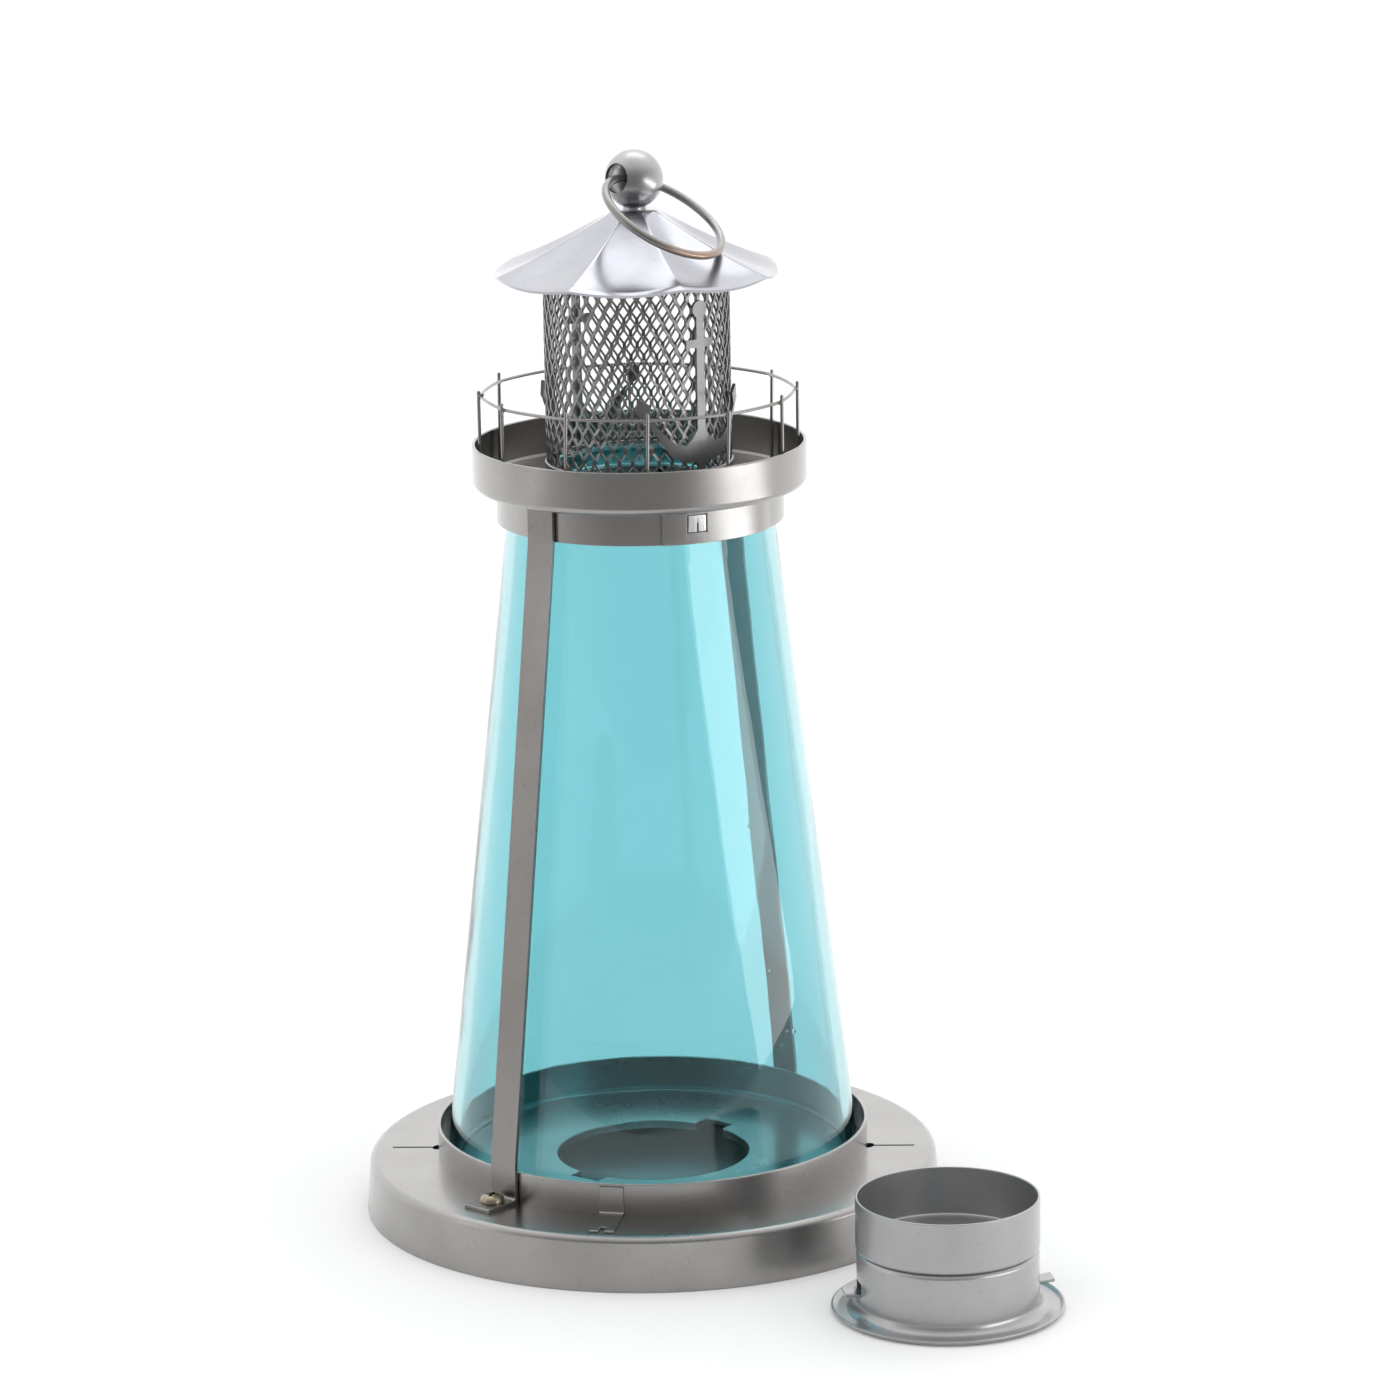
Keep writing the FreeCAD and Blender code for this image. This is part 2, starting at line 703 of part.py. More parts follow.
mesh = dim("mesh_radius")
mesh_gauge = dim("mesh_gauge")
hem = dim("hem_radius")
lamp_room = turned_body(
    "lamp_room_mesh",
    [
        (mesh - mesh_gauge, dim("mesh_bottom")),
        (mesh, dim("mesh_bottom")),
        (mesh, dim("mesh_top")),
        (mesh - mesh_gauge, dim("mesh_top")),
    ],
)
finish(lamp_room, "lamp_room_mesh")
for side, low, high in (
    ("lower", dim("collar_top"), dim("mesh_bottom")),
    ("upper", dim("mesh_top"), dim("mesh_top") + dim("hem_height")),
):
    hem_ring = turned_body(
        f"mesh_hem_{side}",
        [
            (mesh - mesh_gauge, low),
            (hem, low),
            (hem, high),
            (mesh - mesh_gauge, high),
        ],
    )
    finish(hem_ring, f"mesh_hem_{side}")

# ---------------------------------------------------------------------------------------------
# Anchors: flat sheets curved round the mesh
# ---------------------------------------------------------------------------------------------


def anchor_outlines():
    """Closed outlines, as (distance along the curve, height), whose union is one anchor."""
    bottom = number(dim("anchor_bottom"))
    eye = number(dim("anchor_eye"))
    eye_radius = number(dim("anchor_eye_radius"))
    half_shank = number(dim("anchor_shank")) / 2.0
    half_stock = number(dim("anchor_stock")) / 2.0
    reach = number(dim("anchor_reach"))
    stock_level = eye - 8.2
    outlines = [
        [
            (-half_shank, bottom + 2.0),
            (half_shank, bottom + 2.0),
            (half_shank * 0.9, eye - 1.0),
            (-half_shank * 0.9, eye - 1.0),
        ],
        [
            (-half_stock, stock_level - 0.9),
            (0.0, stock_level - 1.1),
            (half_stock, stock_level - 0.9),
            (half_stock, stock_level + 0.9),
            (0.0, stock_level + 1.1),
            (-half_stock, stock_level + 0.9),
        ],
        [
            (
                eye_radius * math.cos(math.radians(15.0 * step)),
                eye + eye_radius * math.sin(math.radians(15.0 * step)),
            )
            for step in range(24)
        ],
        # The short stem below the crown.
        [(-1.0, bottom), (1.0, bottom), (1.0, bottom + 3.0), (-1.0, bottom + 3.0)],
    ]
    # The arms are one crescent, thick at the crown and thin where the flukes start.
    outer = [(0.0, 1.8), (3.5, 2.0), (7.4, 3.2), (9.9, 6.2), (12.1, 9.6), (reach - 3.1, 12.0)]
    inner = [(reach - 4.0, 12.6), (11.0, 10.5), (8.6, 8.0), (6.6, 6.5), (4.6, 6.1), (2.6, 7.6), (1.1, 10.0)]
    right = [(across, bottom + up) for across, up in outer + inner]
    left = [(-across, up) for across, up in right[1:]]
    outlines.append(right + left[::-1])
    # A fluke on each arm end: a barbed head with its point up and out.
    for side in (-1.0, 1.0):
        head = [
            (reach - 1.0, 18.2),
            (reach - 3.9, 16.4),
            (reach - 3.0, 13.6),
            (reach - 4.0, 12.3),
            (reach - 3.0, 11.8),
            (reach - 2.0, 13.3),
            (reach, 14.8),
        ]
        outlines.append([(side * across, bottom + up) for across, up in head][:: int(side)])
    return outlines


def anchor_shape():
    """The union of the outlines, wrapped on the cylinder that the anchors follow."""
    inside = number(dim("anchor_inner"))
    outside = inside + number(dim("anchor_gauge"))
    middle = (inside + outside) / 2.0
    blank = None
    for outline in anchor_outlines():
        points = [Vector(0, middle * math.sin(s / middle), z) for s, z in outline]
        face = Part.Face(Part.makePolygon(points + [points[0]]))
        plate = face.extrude(Vector(outside + 2.0, 0, 0))
        blank = plate if blank is None else blank.fuse(plate)
    low = number(dim("anchor_bottom")) - 5.0
    tall = number(dim("anchor_eye")) + 10.0 - low
    shell = Part.makeCylinder(outside, tall, Vector(0, 0, low)).cut(
        Part.makeCylinder(inside, tall, Vector(0, 0, low))
    )
    wrapped = blank.removeSplitter().common(shell)
    return wrapped.Solids[0] if len(wrapped.Solids) == 1 else wrapped


for side, azimuth in (("front", ANCHOR_AZIMUTH), ("rear", ANCHOR_AZIMUTH + 180.0)):
    anchor = doc.addObject("Part::Feature", f"anchor_{side}_sheet")
    anchor.Shape = anchor_shape()
    finish(anchor, f"anchor_{side}", Placement(Vector(0, 0, 0), turn_to(azimuth)))

# ---------------------------------------------------------------------------------------------
# Roof: a fluted cone pressed from one sheet
# ---------------------------------------------------------------------------------------------


def roof_shape():
    """Eight ridges with the sheet sagging between them, closed as one thin solid."""
    crown_radius = number(dim("roof_crown_radius"))
    crown = number(dim("roof_crown"))
    edge_radius = number(dim("roof_edge_radius"))
    edge = number(dim("roof_edge"))
    scallop = number(dim("roof_scallop"))
    flute = number(dim("roof_flute"))
    gauge = number(dim("roof_gauge"))
    per_ridge = 4
    around = RIDGE_COUNT * per_ridge
    # Fractions of the way down the slope, and how far the straight line is dished there.
    stations = ((0.0, 0.0), (0.22, 0.75), (0.45, 0.85), (0.7, 0.45), (1.0, 0.0))

    def point(station, index, drop):
        fraction, dish = stations[station]
        valley = math.sin(math.pi * (index % per_ridge) / per_ridge)
        radius = crown_radius + fraction * (edge_radius - crown_radius - scallop * valley)
        height = crown + fraction * (edge - crown) - dish
        height -= flute * valley * math.sin(math.pi * min(1.0, fraction * 0.8 + 0.02))
        azimuth = RIDGE_AZIMUTH + 360.0 / around * index
        return facing(azimuth) * radius + Vector(0, 0, height - drop)

    def quad(a, b, c, d):
        return [Part.Face(Part.makePolygon([a, b, c, a])), Part.Face(Part.makePolygon([a, c, d, a]))]

    faces = []
    last = len(stations) - 1
    for index in range(around):
        after = index + 1
        for station in range(last):
            for drop in (0.0, gauge):
                faces += quad(
                    point(station, index, drop),
                    point(station, after, drop),
                    point(station + 1, after, drop),
                    point(station + 1, index, drop),
                )
        faces += quad(
            point(last, index, 0.0),
            point(last, after, 0.0),
            point(last, after, gauge),
            point(last, index, gauge),
        )
        for drop in (0.0, gauge):
            hub = Vector(0, 0, crown - drop)
            ring = [point(0, index, drop), point(0, after, drop)]
            faces.append(Part.Face(Part.makePolygon([hub, ring[0], ring[1], hub])))
    shell = Part.makeShell(faces)
    solid = Part.makeSolid(shell)
    if solid.Volume < 0:
        solid.reverse()
    return solid


roof = doc.addObject("Part::Feature", "roof_sheet")
roof.Shape = roof_shape()
finish(roof, "roof")

# ---------------------------------------------------------------------------------------------
# Finial ball on its collar, and the hanging ring through it
# ---------------------------------------------------------------------------------------------

ball_radius = dim("ball_radius")
ball_centre = Vector(0, 0, number(dim("ball_level")))
bore_tilt = math.radians(BORE_TILT)
bore_direction = facing(BORE_AZIMUTH) * math.cos(bore_tilt) + Vector(0, 0, math.sin(bore_tilt))


def sphere(name, radius):
    """Part sphere on the ball's centre."""
    thing = doc.addObject("Part::Sphere", name)
    bind(thing, "Radius", radius)
    thing.Placement = Placement(ball_centre, Rotation())
    return thing


across_ball = Rotation(Vector(0, 0, 1), bore_direction)
cross_hole = cylinder("ball_cross_hole", dim("ball_bore"), ball_radius * 2.4)
cross_hole.Placement = Placement(
    ball_centre - bore_direction * (number(ball_radius) * 1.2), across_ball
)
hollow = fuse("ball_hollow", sphere("ball_inside", ball_radius - dim("ball_gauge")), cross_hole)
finish(cut("ball", sphere("ball_outside", ball_radius), hollow), "finial_ball")

stem = cylinder("stem_round", dim("stem_radius"), dim("ball_level") - ball_radius - dim("roof_crown") + 0.55)
stem.Placement = Placement(Vector(0, 0, number(dim("roof_crown"))), Rotation())
finish(cut("stem", stem, sphere("stem_seat", ball_radius)), "finial_stem")

# The ring passes through the ball's centre and droops on the roof's front right.
droop = math.radians(number(dim("ring_droop")))
ring_swing = math.radians(RING_SWING)
ring_down = facing(RING_AZIMUTH) * math.cos(droop) - Vector(0, 0, math.sin(droop))
ring_plane_normal = bore_direction.cross(ring_down)
ring_plane_normal.normalize()
ring_down = ring_plane_normal.cross(bore_direction)
ring_direction = ring_down * math.cos(ring_swing) - bore_direction * math.sin(ring_swing)
ring = doc.addObject("Part::Torus", "ring_round")
bind(ring, "Radius1", dim("ring_circle"))
bind(ring, "Radius2", dim("ring_wire"))
ring_plane = Rotation(Vector(0, 0, 1), ring_plane_normal)
ring_middle = ball_centre + ring_direction * number(dim("ring_circle"))
finish(ring, "hanging_ring", Placement(ring_middle, ring_plane))

# ---------------------------------------------------------------------------------------------
# Candle cup, standing on the table beside the lantern
# ---------------------------------------------------------------------------------------------

cup_axis = Vector(number(dim("cup_x")), -number(dim("cup_y")), 0)
can = dim("can_radius")
can_gauge = dim("can_gauge")
can_bottom = dim("can_bottom")
can_rim = dim("can_rim")
candle_can = turned_body(
    "cup_can",
    [
        (0.0, can_bottom),
        (can - 0.5, can_bottom),
        (can, can_bottom + 0.4),
        (can, can_rim - 0.15),
        (can - 0.15, can_rim),
        (can - can_gauge + 0.15, can_rim),
        (can - can_gauge, can_rim - 0.15),
        (can - can_gauge, can_bottom + can_gauge),
        (0.0, can_bottom + can_gauge),
    ],
)
finish(candle_can, "cup_can", Placement(cup_axis, Rotation()))

sleeve = dim("sleeve_radius")
sleeve_gauge = dim("sleeve_gauge")
flange = dim("flange_radius")
sleeve_body = turned_body(
    "cup_sleeve_turned",
    [
        (sleeve - 2.4, dim("sleeve_top") - sleeve_gauge),
        (sleeve - 1.2, dim("sleeve_top") - sleeve_gauge),
        (sleeve - sleeve_gauge, dim("sleeve_top") - sleeve_gauge - 0.6),
        (sleeve - sleeve_gauge, 2.6),
        (sleeve + 0.2, 0.8),
        (sleeve + 1.9, 0.0),
        (flange - 1.2, 0.0),
        (flange - 0.3, 0.5),
        (flange, 1.3),
        (flange - 0.5, 1.5),
        (flange - 0.8, 0.9),
        (flange - 1.5, 0.6),
        (sleeve + 2.1, 0.6),
        (sleeve + 0.7, 1.2),
        (sleeve, 2.8),
        (sleeve, dim("sleeve_top") - 0.9),
        (sleeve - 0.9, dim("sleeve_top")),
        (sleeve - 2.4, dim("sleeve_top")),
    ],
)
# Two bayonet lugs lanced out of the sleeve, opposite each other; each leaves a window above it.
windows = []
for index in range(2):
    azimuth = LUG_AZIMUTH + 180.0 * index
    windows.append(
        block(
            f"sleeve_window_{index + 1}",
            3.0,
            dim("lug_width"),
            2.6,
            Placement(
                turn_to(azimuth).multVec(
                    Vector(
                        number(sleeve) - 1.5,
                        -number(dim("lug_width")) / 2.0,
                        number(dim("lug_level")) + 0.8,
                    )
                ),
                turn_to(azimuth),
            ),
        )
    )
pierced = cut("sleeve_cut", sleeve_body, fuse("sleeve_windows", *windows))
finish(pierced, "cup_sleeve", Placement(cup_axis, Rotation()))

for index, side in enumerate(("right", "left")):
    azimuth = LUG_AZIMUTH + 180.0 * index
    lug = block(
        f"lug_plate_{side}", dim("lug_reach") - sleeve + 0.3, dim("lug_width"), 0.8, Placement()
    )
    lug_at = turn_to(azimuth).multVec(
        Vector(number(sleeve) - 0.3, -number(dim("lug_width")) / 2.0, number(dim("lug_level")))
    )
    lug.Placement = Placement(lug_at, turn_to(azimuth))
    seated = cut(f"lug_seated_{side}", lug, sleeve_body)
    finish(seated, f"cup_lug_{side}", Placement(cup_axis, Rotation()))

# ---------------------------------------------------------------------------------------------
# Check and write
# ---------------------------------------------------------------------------------------------

doc.recompute()
for thing in doc.Objects:
    if "Invalid" in thing.State or "Error" in thing.State:
        raise RuntimeError(f"{thing.Label} failed: {thing.State}")
for thing in finished:
    if thing.Shape.isNull() or not thing.Shape.isValid():
        raise RuntimeError(f"{thing.Label} has no valid shape")
    if len(thing.Shape.Solids) != 1:
        raise RuntimeError(f"{thing.Label} is {len(thing.Shape.Solids)} solids")
for thing in finished:
    thing.Shape.exportStep(f"parts/{thing.Label}.step")
    print(f"{thing.Label}: {thing.Shape.Volume:.1f} mm3")
print(f"{len(finished)} parts written")
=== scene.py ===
"""Looks for the lighthouse lantern: pewter sheet, teal glass, expanded metal and drawn wire.

Everything is in metres in the lantern's own frame: +Z up, the table at Z = 0, -Y the front.
Profiles are written in millimetres as (radius, height, rounding).
"""

import math

import bmesh
import bpy
from mathutils import Matrix, Vector


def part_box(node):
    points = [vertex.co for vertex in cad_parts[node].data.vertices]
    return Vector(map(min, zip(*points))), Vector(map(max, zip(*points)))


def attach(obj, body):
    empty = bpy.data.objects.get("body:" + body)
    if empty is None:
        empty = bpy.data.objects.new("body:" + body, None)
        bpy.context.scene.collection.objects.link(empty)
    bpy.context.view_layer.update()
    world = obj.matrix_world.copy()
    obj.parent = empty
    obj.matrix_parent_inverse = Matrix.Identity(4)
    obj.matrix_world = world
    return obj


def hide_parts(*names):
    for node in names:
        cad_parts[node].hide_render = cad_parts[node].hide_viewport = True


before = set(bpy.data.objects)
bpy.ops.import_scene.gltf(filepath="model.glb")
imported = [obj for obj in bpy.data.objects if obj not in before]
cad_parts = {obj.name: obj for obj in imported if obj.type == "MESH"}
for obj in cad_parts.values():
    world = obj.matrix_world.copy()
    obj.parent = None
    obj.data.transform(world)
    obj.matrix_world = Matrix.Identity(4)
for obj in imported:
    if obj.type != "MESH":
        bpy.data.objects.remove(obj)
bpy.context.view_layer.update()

MM = 0.001
FULL_TURN = 2.0 * math.pi

# Azimuths, in degrees from the front towards the right.
STRAP_AZIMUTH = -42.0
CLIP_AZIMUTH = -11.0
NOTCH_AZIMUTH = -38.0
SLIT_AZIMUTH = 87.0
BAND_SEAM_AZIMUTH = 8.0
WINDOW_AZIMUTH = 22.0
ANCHOR_AZIMUTH = 38.5
RIDGE_AZIMUTH = 18.0
BORE_AZIMUTH = -44.0
BORE_TILT = 8.0
RING_AZIMUTH = 46.0
RING_DROOP = 31.6
RING_SWING = -9.0
RING_CIRCLE = 15.4
LUG_AZIMUTH = 99.0


def middle_of(node):
    """Middle of a CAD node's box."""
    low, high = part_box(node)
    return (Vector(low) + Vector(high)) / 2.0


CUP_AXIS = Vector((middle_of("cup_can").x, middle_of("cup_can").y, 0.0))
BALL_CENTRE = middle_of("finial_ball")


def turned_to(azimuth):
    """Turns local +X to face an azimuth."""
    return Matrix.Rotation(math.radians(azimuth - 90.0), 4, "Z")


# ---------------------------------------------------------------------------------------------
# Node groups
# ---------------------------------------------------------------------------------------------


def new_group(name, takes, gives):
    """An empty shader group with named sockets."""
    group = bpy.data.node_groups.new(name, "ShaderNodeTree")
    for label, kind, value in takes:
        socket = group.interface.new_socket(name=label, in_out="INPUT", socket_type=kind)
        if value is not None:
            socket.default_value = value
    for label, kind in gives:
        group.interface.new_socket(name=label, in_out="OUTPUT", socket_type=kind)
    return group, group.nodes.new("NodeGroupInput"), group.nodes.new("NodeGroupOutput")


def noise_in(tree, scale, detail, rough=0.5):
    """A noise texture with its settings."""
    node = tree.nodes.new("ShaderNodeTexNoise")
    node.inputs["Scale"].default_value = scale
    node.inputs["Detail"].default_value = detail
    node.inputs["Roughness"].default_value = rough
    return node


def math_in(tree, operation, first=None, second=None):
    """A math node; numbers are set and sockets are linked."""
    node = tree.nodes.new("ShaderNodeMath")
    node.operation = operation
    for index, value in enumerate((first, second)):
        if value is None:
            continue
        if isinstance(value, (int, float)):
            node.inputs[index].default_value = value
        else:
            tree.links.new(value, node.inputs[index])
    return node


def range_in(tree, value, low, high, to_low=0.0, to_high=1.0):
    """Map Range from low..high to to_low..to_high, clamped."""
    node = tree.nodes.new("ShaderNodeMapRange")
    tree.links.new(value, node.inputs["Value"])
    node.inputs["From Min"].default_value = low
    node.inputs["From Max"].default_value = high
    node.inputs["To Min"].default_value = to_low
    node.inputs["To Max"].default_value = to_high
    return node


def build_cloud_group():
    """Soft blotches, fine specks and a fine tooth, as three masks."""
    group, takes, gives = new_group(
        "sheet_mottle",
        [("Vector", "NodeSocketVector", None)],
        [("Cloud", "NodeSocketFloat"), ("Specks", "NodeSocketFloat"), ("Tooth", "NodeSocketFloat")],
    )
    cloud = noise_in(group, 34.0, 4.0, 0.55)
    specks = noise_in(group, 700.0, 2.0, 0.6)
    tooth = noise_in(group, 1900.0, 3.0, 0.6)
    for node in (cloud, specks, tooth):
        group.links.new(takes.outputs["Vector"], node.inputs["Vector"])
    cloud_mask = range_in(group, cloud.outputs["Fac"], 0.32, 0.68)
    speck_mask = range_in(group, specks.outputs["Fac"], 0.62, 0.74)
    group.links.new(cloud_mask.outputs["Result"], gives.inputs["Cloud"])
    group.links.new(speck_mask.outputs["Result"], gives.inputs["Specks"])
    group.links.new(tooth.outputs["Fac"], gives.inputs["Tooth"])
    return group


def build_brush_group():
    """Long fine scratches that run level, with a few deeper ones."""
    group, takes, gives = new_group(
        "level_scratches",
        [("Vector", "NodeSocketVector", None)],
        [("Height", "NodeSocketFloat")],
    )
    stretch = group.nodes.new("ShaderNodeMapping")
    stretch.inputs["Scale"].default_value = (18.0, 18.0, 2600.0)
    group.links.new(takes.outputs["Vector"], stretch.inputs["Vector"])
    lines = noise_in(group, 1.0, 3.0, 0.7)
    group.links.new(stretch.outputs["Vector"], lines.inputs["Vector"])
    group.links.new(lines.outputs["Fac"], gives.inputs["Height"])
    return group


MOTTLE = build_cloud_group()
SCRATCHES = build_brush_group()


def place_group(tree, group, vector):
    """A group node fed with a vector."""
    node = tree.nodes.new("ShaderNodeGroup")
    node.node_tree = group
    tree.links.new(vector, node.inputs["Vector"])
    return node


def blank_material(name):
    """A new material with its Principled shader and Object coordinates."""
    material = bpy.data.materials.new(name)
    material.use_nodes = True
    tree = material.node_tree
    shader = tree.nodes["Principled BSDF"]
    place = tree.nodes.new("ShaderNodeTexCoord")
    return material, tree, shader, place.outputs["Object"]


def mix_colour(tree, factor, first, second):
    """Colour mix; either colour may be a socket."""
    node = tree.nodes.new("ShaderNodeMix")
    node.data_type = "RGBA"
    if isinstance(factor, (int, float)):
        node.inputs["Factor"].default_value = factor
    else:
        tree.links.new(factor, node.inputs["Factor"])
    for label, value in (("A", first), ("B", second)):
        socket = [s for s in node.inputs if s.name == label and s.type == "RGBA"][0]
        if isinstance(value, tuple):
            socket.default_value = (*value, 1.0)
        else:
            tree.links.new(value, socket)
    return [s for s in node.outputs if s.type == "RGBA"][0]


SPECK_STRENGTH = 0.35


def sheet_metal(name, light, dark, speck, rough, spread, tooth=0.06, scratch=0.05, metallic=1.0):
    """Satin sheet: blotched colour, specks, uneven gloss, a fine tooth and level scratches."""
    material, tree, shader, place = blank_material(name)
    mottle = place_group(tree, MOTTLE, place)
    scratches = place_group(tree, SCRATCHES, place)
    colour = mix_colour(tree, mottle.outputs["Cloud"], dark, light)
    flecks = math_in(tree, "MULTIPLY", mottle.outputs["Specks"], SPECK_STRENGTH)
    colour = mix_colour(tree, flecks.outputs[0], colour, speck)
    tree.links.new(colour, shader.inputs["Base Color"])
    gloss = range_in(tree, mottle.outputs["Cloud"], 0.0, 1.0, rough + spread, rough - spread)
    tree.links.new(gloss.outputs["Result"], shader.inputs["Roughness"])
    shader.inputs["Metallic"].default_value = metallic
    shader.inputs["Coat Weight"].default_value = 0.7
    shader.inputs["Coat Roughness"].default_value = 0.16
    shader.inputs["Coat IOR"].default_value = 1.5
    height = math_in(
        tree,
        "ADD",
        math_in(tree, "MULTIPLY", mottle.outputs["Tooth"], tooth).outputs[0],
        math_in(tree, "MULTIPLY", scratches.outputs["Height"], scratch).outputs[0],
    )
    bump = tree.nodes.new("ShaderNodeBump")
    bump.inputs["Strength"].default_value = 0.5
    bump.inputs["Distance"].default_value = 0.0004
    tree.links.new(height.outputs[0], bump.inputs["Height"])
    tree.links.new(bump.outputs["Normal"], shader.inputs["Normal"])
    return material


# Light, dark and speck colours, then the roughness and how much it varies.
PEWTER = sheet_metal(
    "pewter_sheet", (0.345, 0.335, 0.325), (0.285, 0.277, 0.27), (0.22, 0.21, 0.2), 0.30, 0.04
)
STRAP_METAL = sheet_metal(
    "strap_sheet", (0.235, 0.222, 0.213), (0.19, 0.179, 0.172), (0.13, 0.122, 0.115), 0.34, 0.05
)
ROOF_METAL = sheet_metal(
    "roof_sheet", (0.41, 0.415, 0.455), (0.34, 0.345, 0.38), (0.28, 0.28, 0.30), 0.22, 0.05
)
WIRE_METAL = sheet_metal(
    "drawn_wire", (0.33, 0.32, 0.31), (0.24, 0.23, 0.22), (0.16, 0.15, 0.14), 0.33, 0.06
)
MESH_METAL = sheet_metal(
    "expanded_metal", (0.30, 0.29, 0.28), (0.21, 0.205, 0.20), (0.14, 0.13, 0.12), 0.40, 0.06
)
ANCHOR_METAL = sheet_metal(
    "anchor_sheet", (0.235, 0.232, 0.23), (0.19, 0.187, 0.184), (0.14, 0.136, 0.13), 0.44, 0.05
)
BALL_METAL = sheet_metal(
    "ball_metal", (0.40, 0.40, 0.405), (0.34, 0.34, 0.345), (0.25, 0.25, 0.25), 0.33, 0.04
)
CUP_METAL = sheet_metal(
    "cup_sheet", (0.39, 0.39, 0.395), (0.33, 0.33, 0.335), (0.25, 0.25, 0.25), 0.32, 0.05, metallic=0.8
)
SCREW_METAL = sheet_metal(
    "screw_metal", (0.30, 0.255, 0.18), (0.20, 0.165, 0.115), (0.1, 0.08, 0.06), 0.34, 0.06
)
# The tongue is the band's own pewter strip; its near-white colour is a painted highlight.
TAB_PAINTED_HIGHLIGHT = sheet_metal(
    "tongue_painted_highlight", (0.75, 0.75, 0.75), (0.68, 0.68, 0.68), (0.5, 0.5, 0.5), 0.24, 0.04
)


def ring_material():
    """Drawn wire with a faint coppery rub where the ring lies on the roof."""
    material = WIRE_METAL.copy()
    material.name = "hanging_ring_wire"
    tree = material.node_tree
    shader = tree.nodes["Principled BSDF"]
    place = [n for n in tree.nodes if n.type == "TEX_COORD"][0].outputs["Object"]
    was = shader.inputs["Base Color"].links[0].from_socket
    split = tree.nodes.new("ShaderNodeSeparateXYZ")
    tree.links.new(place, split.inputs[0])
    low = range_in(tree, split.outputs["Z"], 0.2465, 0.2415)
    front = range_in(tree, split.outputs["Y"], -0.012, -0.020)
    rub = math_in(tree, "MULTIPLY", low.outputs["Result"], front.outputs["Result"])
    rub = math_in(tree, "MULTIPLY", rub.outputs[0], 0.75)
    colour = mix_colour(tree, rub.outputs[0], was, (0.40, 0.25, 0.16))
    tree.links.new(colour, shader.inputs["Base Color"])
    return material


def glass_material():
    """Teal glass with seeds and slow waves in its surface."""
    material, tree, shader, place = blank_material("teal_glass")
    shader.inputs["Metallic"].default_value = 0.0
    shader.inputs["Transmission Weight"].default_value = 1.0
    shader.inputs["IOR"].default_value = 1.47
    tint = noise_in(tree, 14.0, 3.0)
    tree.links.new(place, tint.inputs["Vector"])
    tint_mask = range_in(tree, tint.outputs["Fac"], 0.3, 0.7)
    colour = mix_colour(tree, tint_mask.outputs["Result"], (0.43, 0.75, 0.79), (0.46, 0.77, 0.81))
    tree.links.new(colour, shader.inputs["Base Color"])
    haze = noise_in(tree, 26.0, 5.0, 0.6)
    tree.links.new(place, haze.inputs["Vector"])
    gloss = range_in(tree, haze.outputs["Fac"], 0.35, 0.75, 0.0, 0.05)
    tree.links.new(gloss.outputs["Result"], shader.inputs["Roughness"])

    waves = tree.nodes.new("ShaderNodeMapping")
    waves.inputs["Scale"].default_value = (55.0, 55.0, 22.0)
    tree.links.new(place, waves.inputs["Vector"])
    slow = noise_in(tree, 1.0, 2.0)
    tree.links.new(waves.outputs["Vector"], slow.inputs["Vector"])
    seeds = tree.nodes.new("ShaderNodeTexVoronoi")
    seeds.inputs["Scale"].default_value = 230.0
    tree.links.new(place, seeds.inputs["Vector"])
    near = range_in(tree, seeds.outputs["Distance"], 0.0, 0.16, 1.0, 0.0)
    pick = noise_in(tree, 160.0, 0.0)
    tree.links.new(place, pick.inputs["Vector"])
    chosen = range_in(tree, pick.outputs["Fac"], 0.60, 0.64)
    seed = math_in(tree, "MULTIPLY", near.outputs["Result"], chosen.outputs["Result"])
    height = math_in(
        tree,
        "ADD",
        math_in(tree, "MULTIPLY", slow.outputs["Fac"], 0.5).outputs[0],
        math_in(tree, "MULTIPLY", seed.outputs[0], 0.07).outputs[0],
    )
    bump = tree.nodes.new("ShaderNodeBump")
    bump.inputs["Strength"].default_value = 0.35
    bump.inputs["Distance"].default_value = 0.0006
    tree.links.new(height.outputs[0], bump.inputs["Height"])
    tree.links.new(bump.outputs["Normal"], shader.inputs["Normal"])
    return material


RING_METAL = ring_material()
GLASS = glass_material()

# ---------------------------------------------------------------------------------------------
# Ways of making a piece
# ---------------------------------------------------------------------------------------------


def add_piece(name, bm, material, body, nodes, smooth_angle=32.0, recalc=True):
    """Turns a bmesh into a finished piece that stands for CAD nodes."""
    if recalc:
        bmesh.ops.remove_doubles(bm, verts=bm.verts[:], dist=1e-7)
        bmesh.ops.recalc_face_normals(bm, faces=bm.faces[:])
    mesh = bpy.data.meshes.new(name)
    bm.to_mesh(mesh)
    bm.free()
    mesh.shade_smooth()
    mesh.set_sharp_from_angle(angle=math.radians(smooth_angle))
    mesh.materials.append(material)
    piece = bpy.data.objects.new(name, mesh)
    bpy.context.scene.collection.objects.link(piece)
    # Large faces keep their own direction, so flats stay flat beside small rounds.
    even = piece.modifiers.new("even_normals", "WEIGHTED_NORMAL")
    even.keep_sharp = True
    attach(piece, body)
    if nodes:
        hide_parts(*nodes)
    return piece


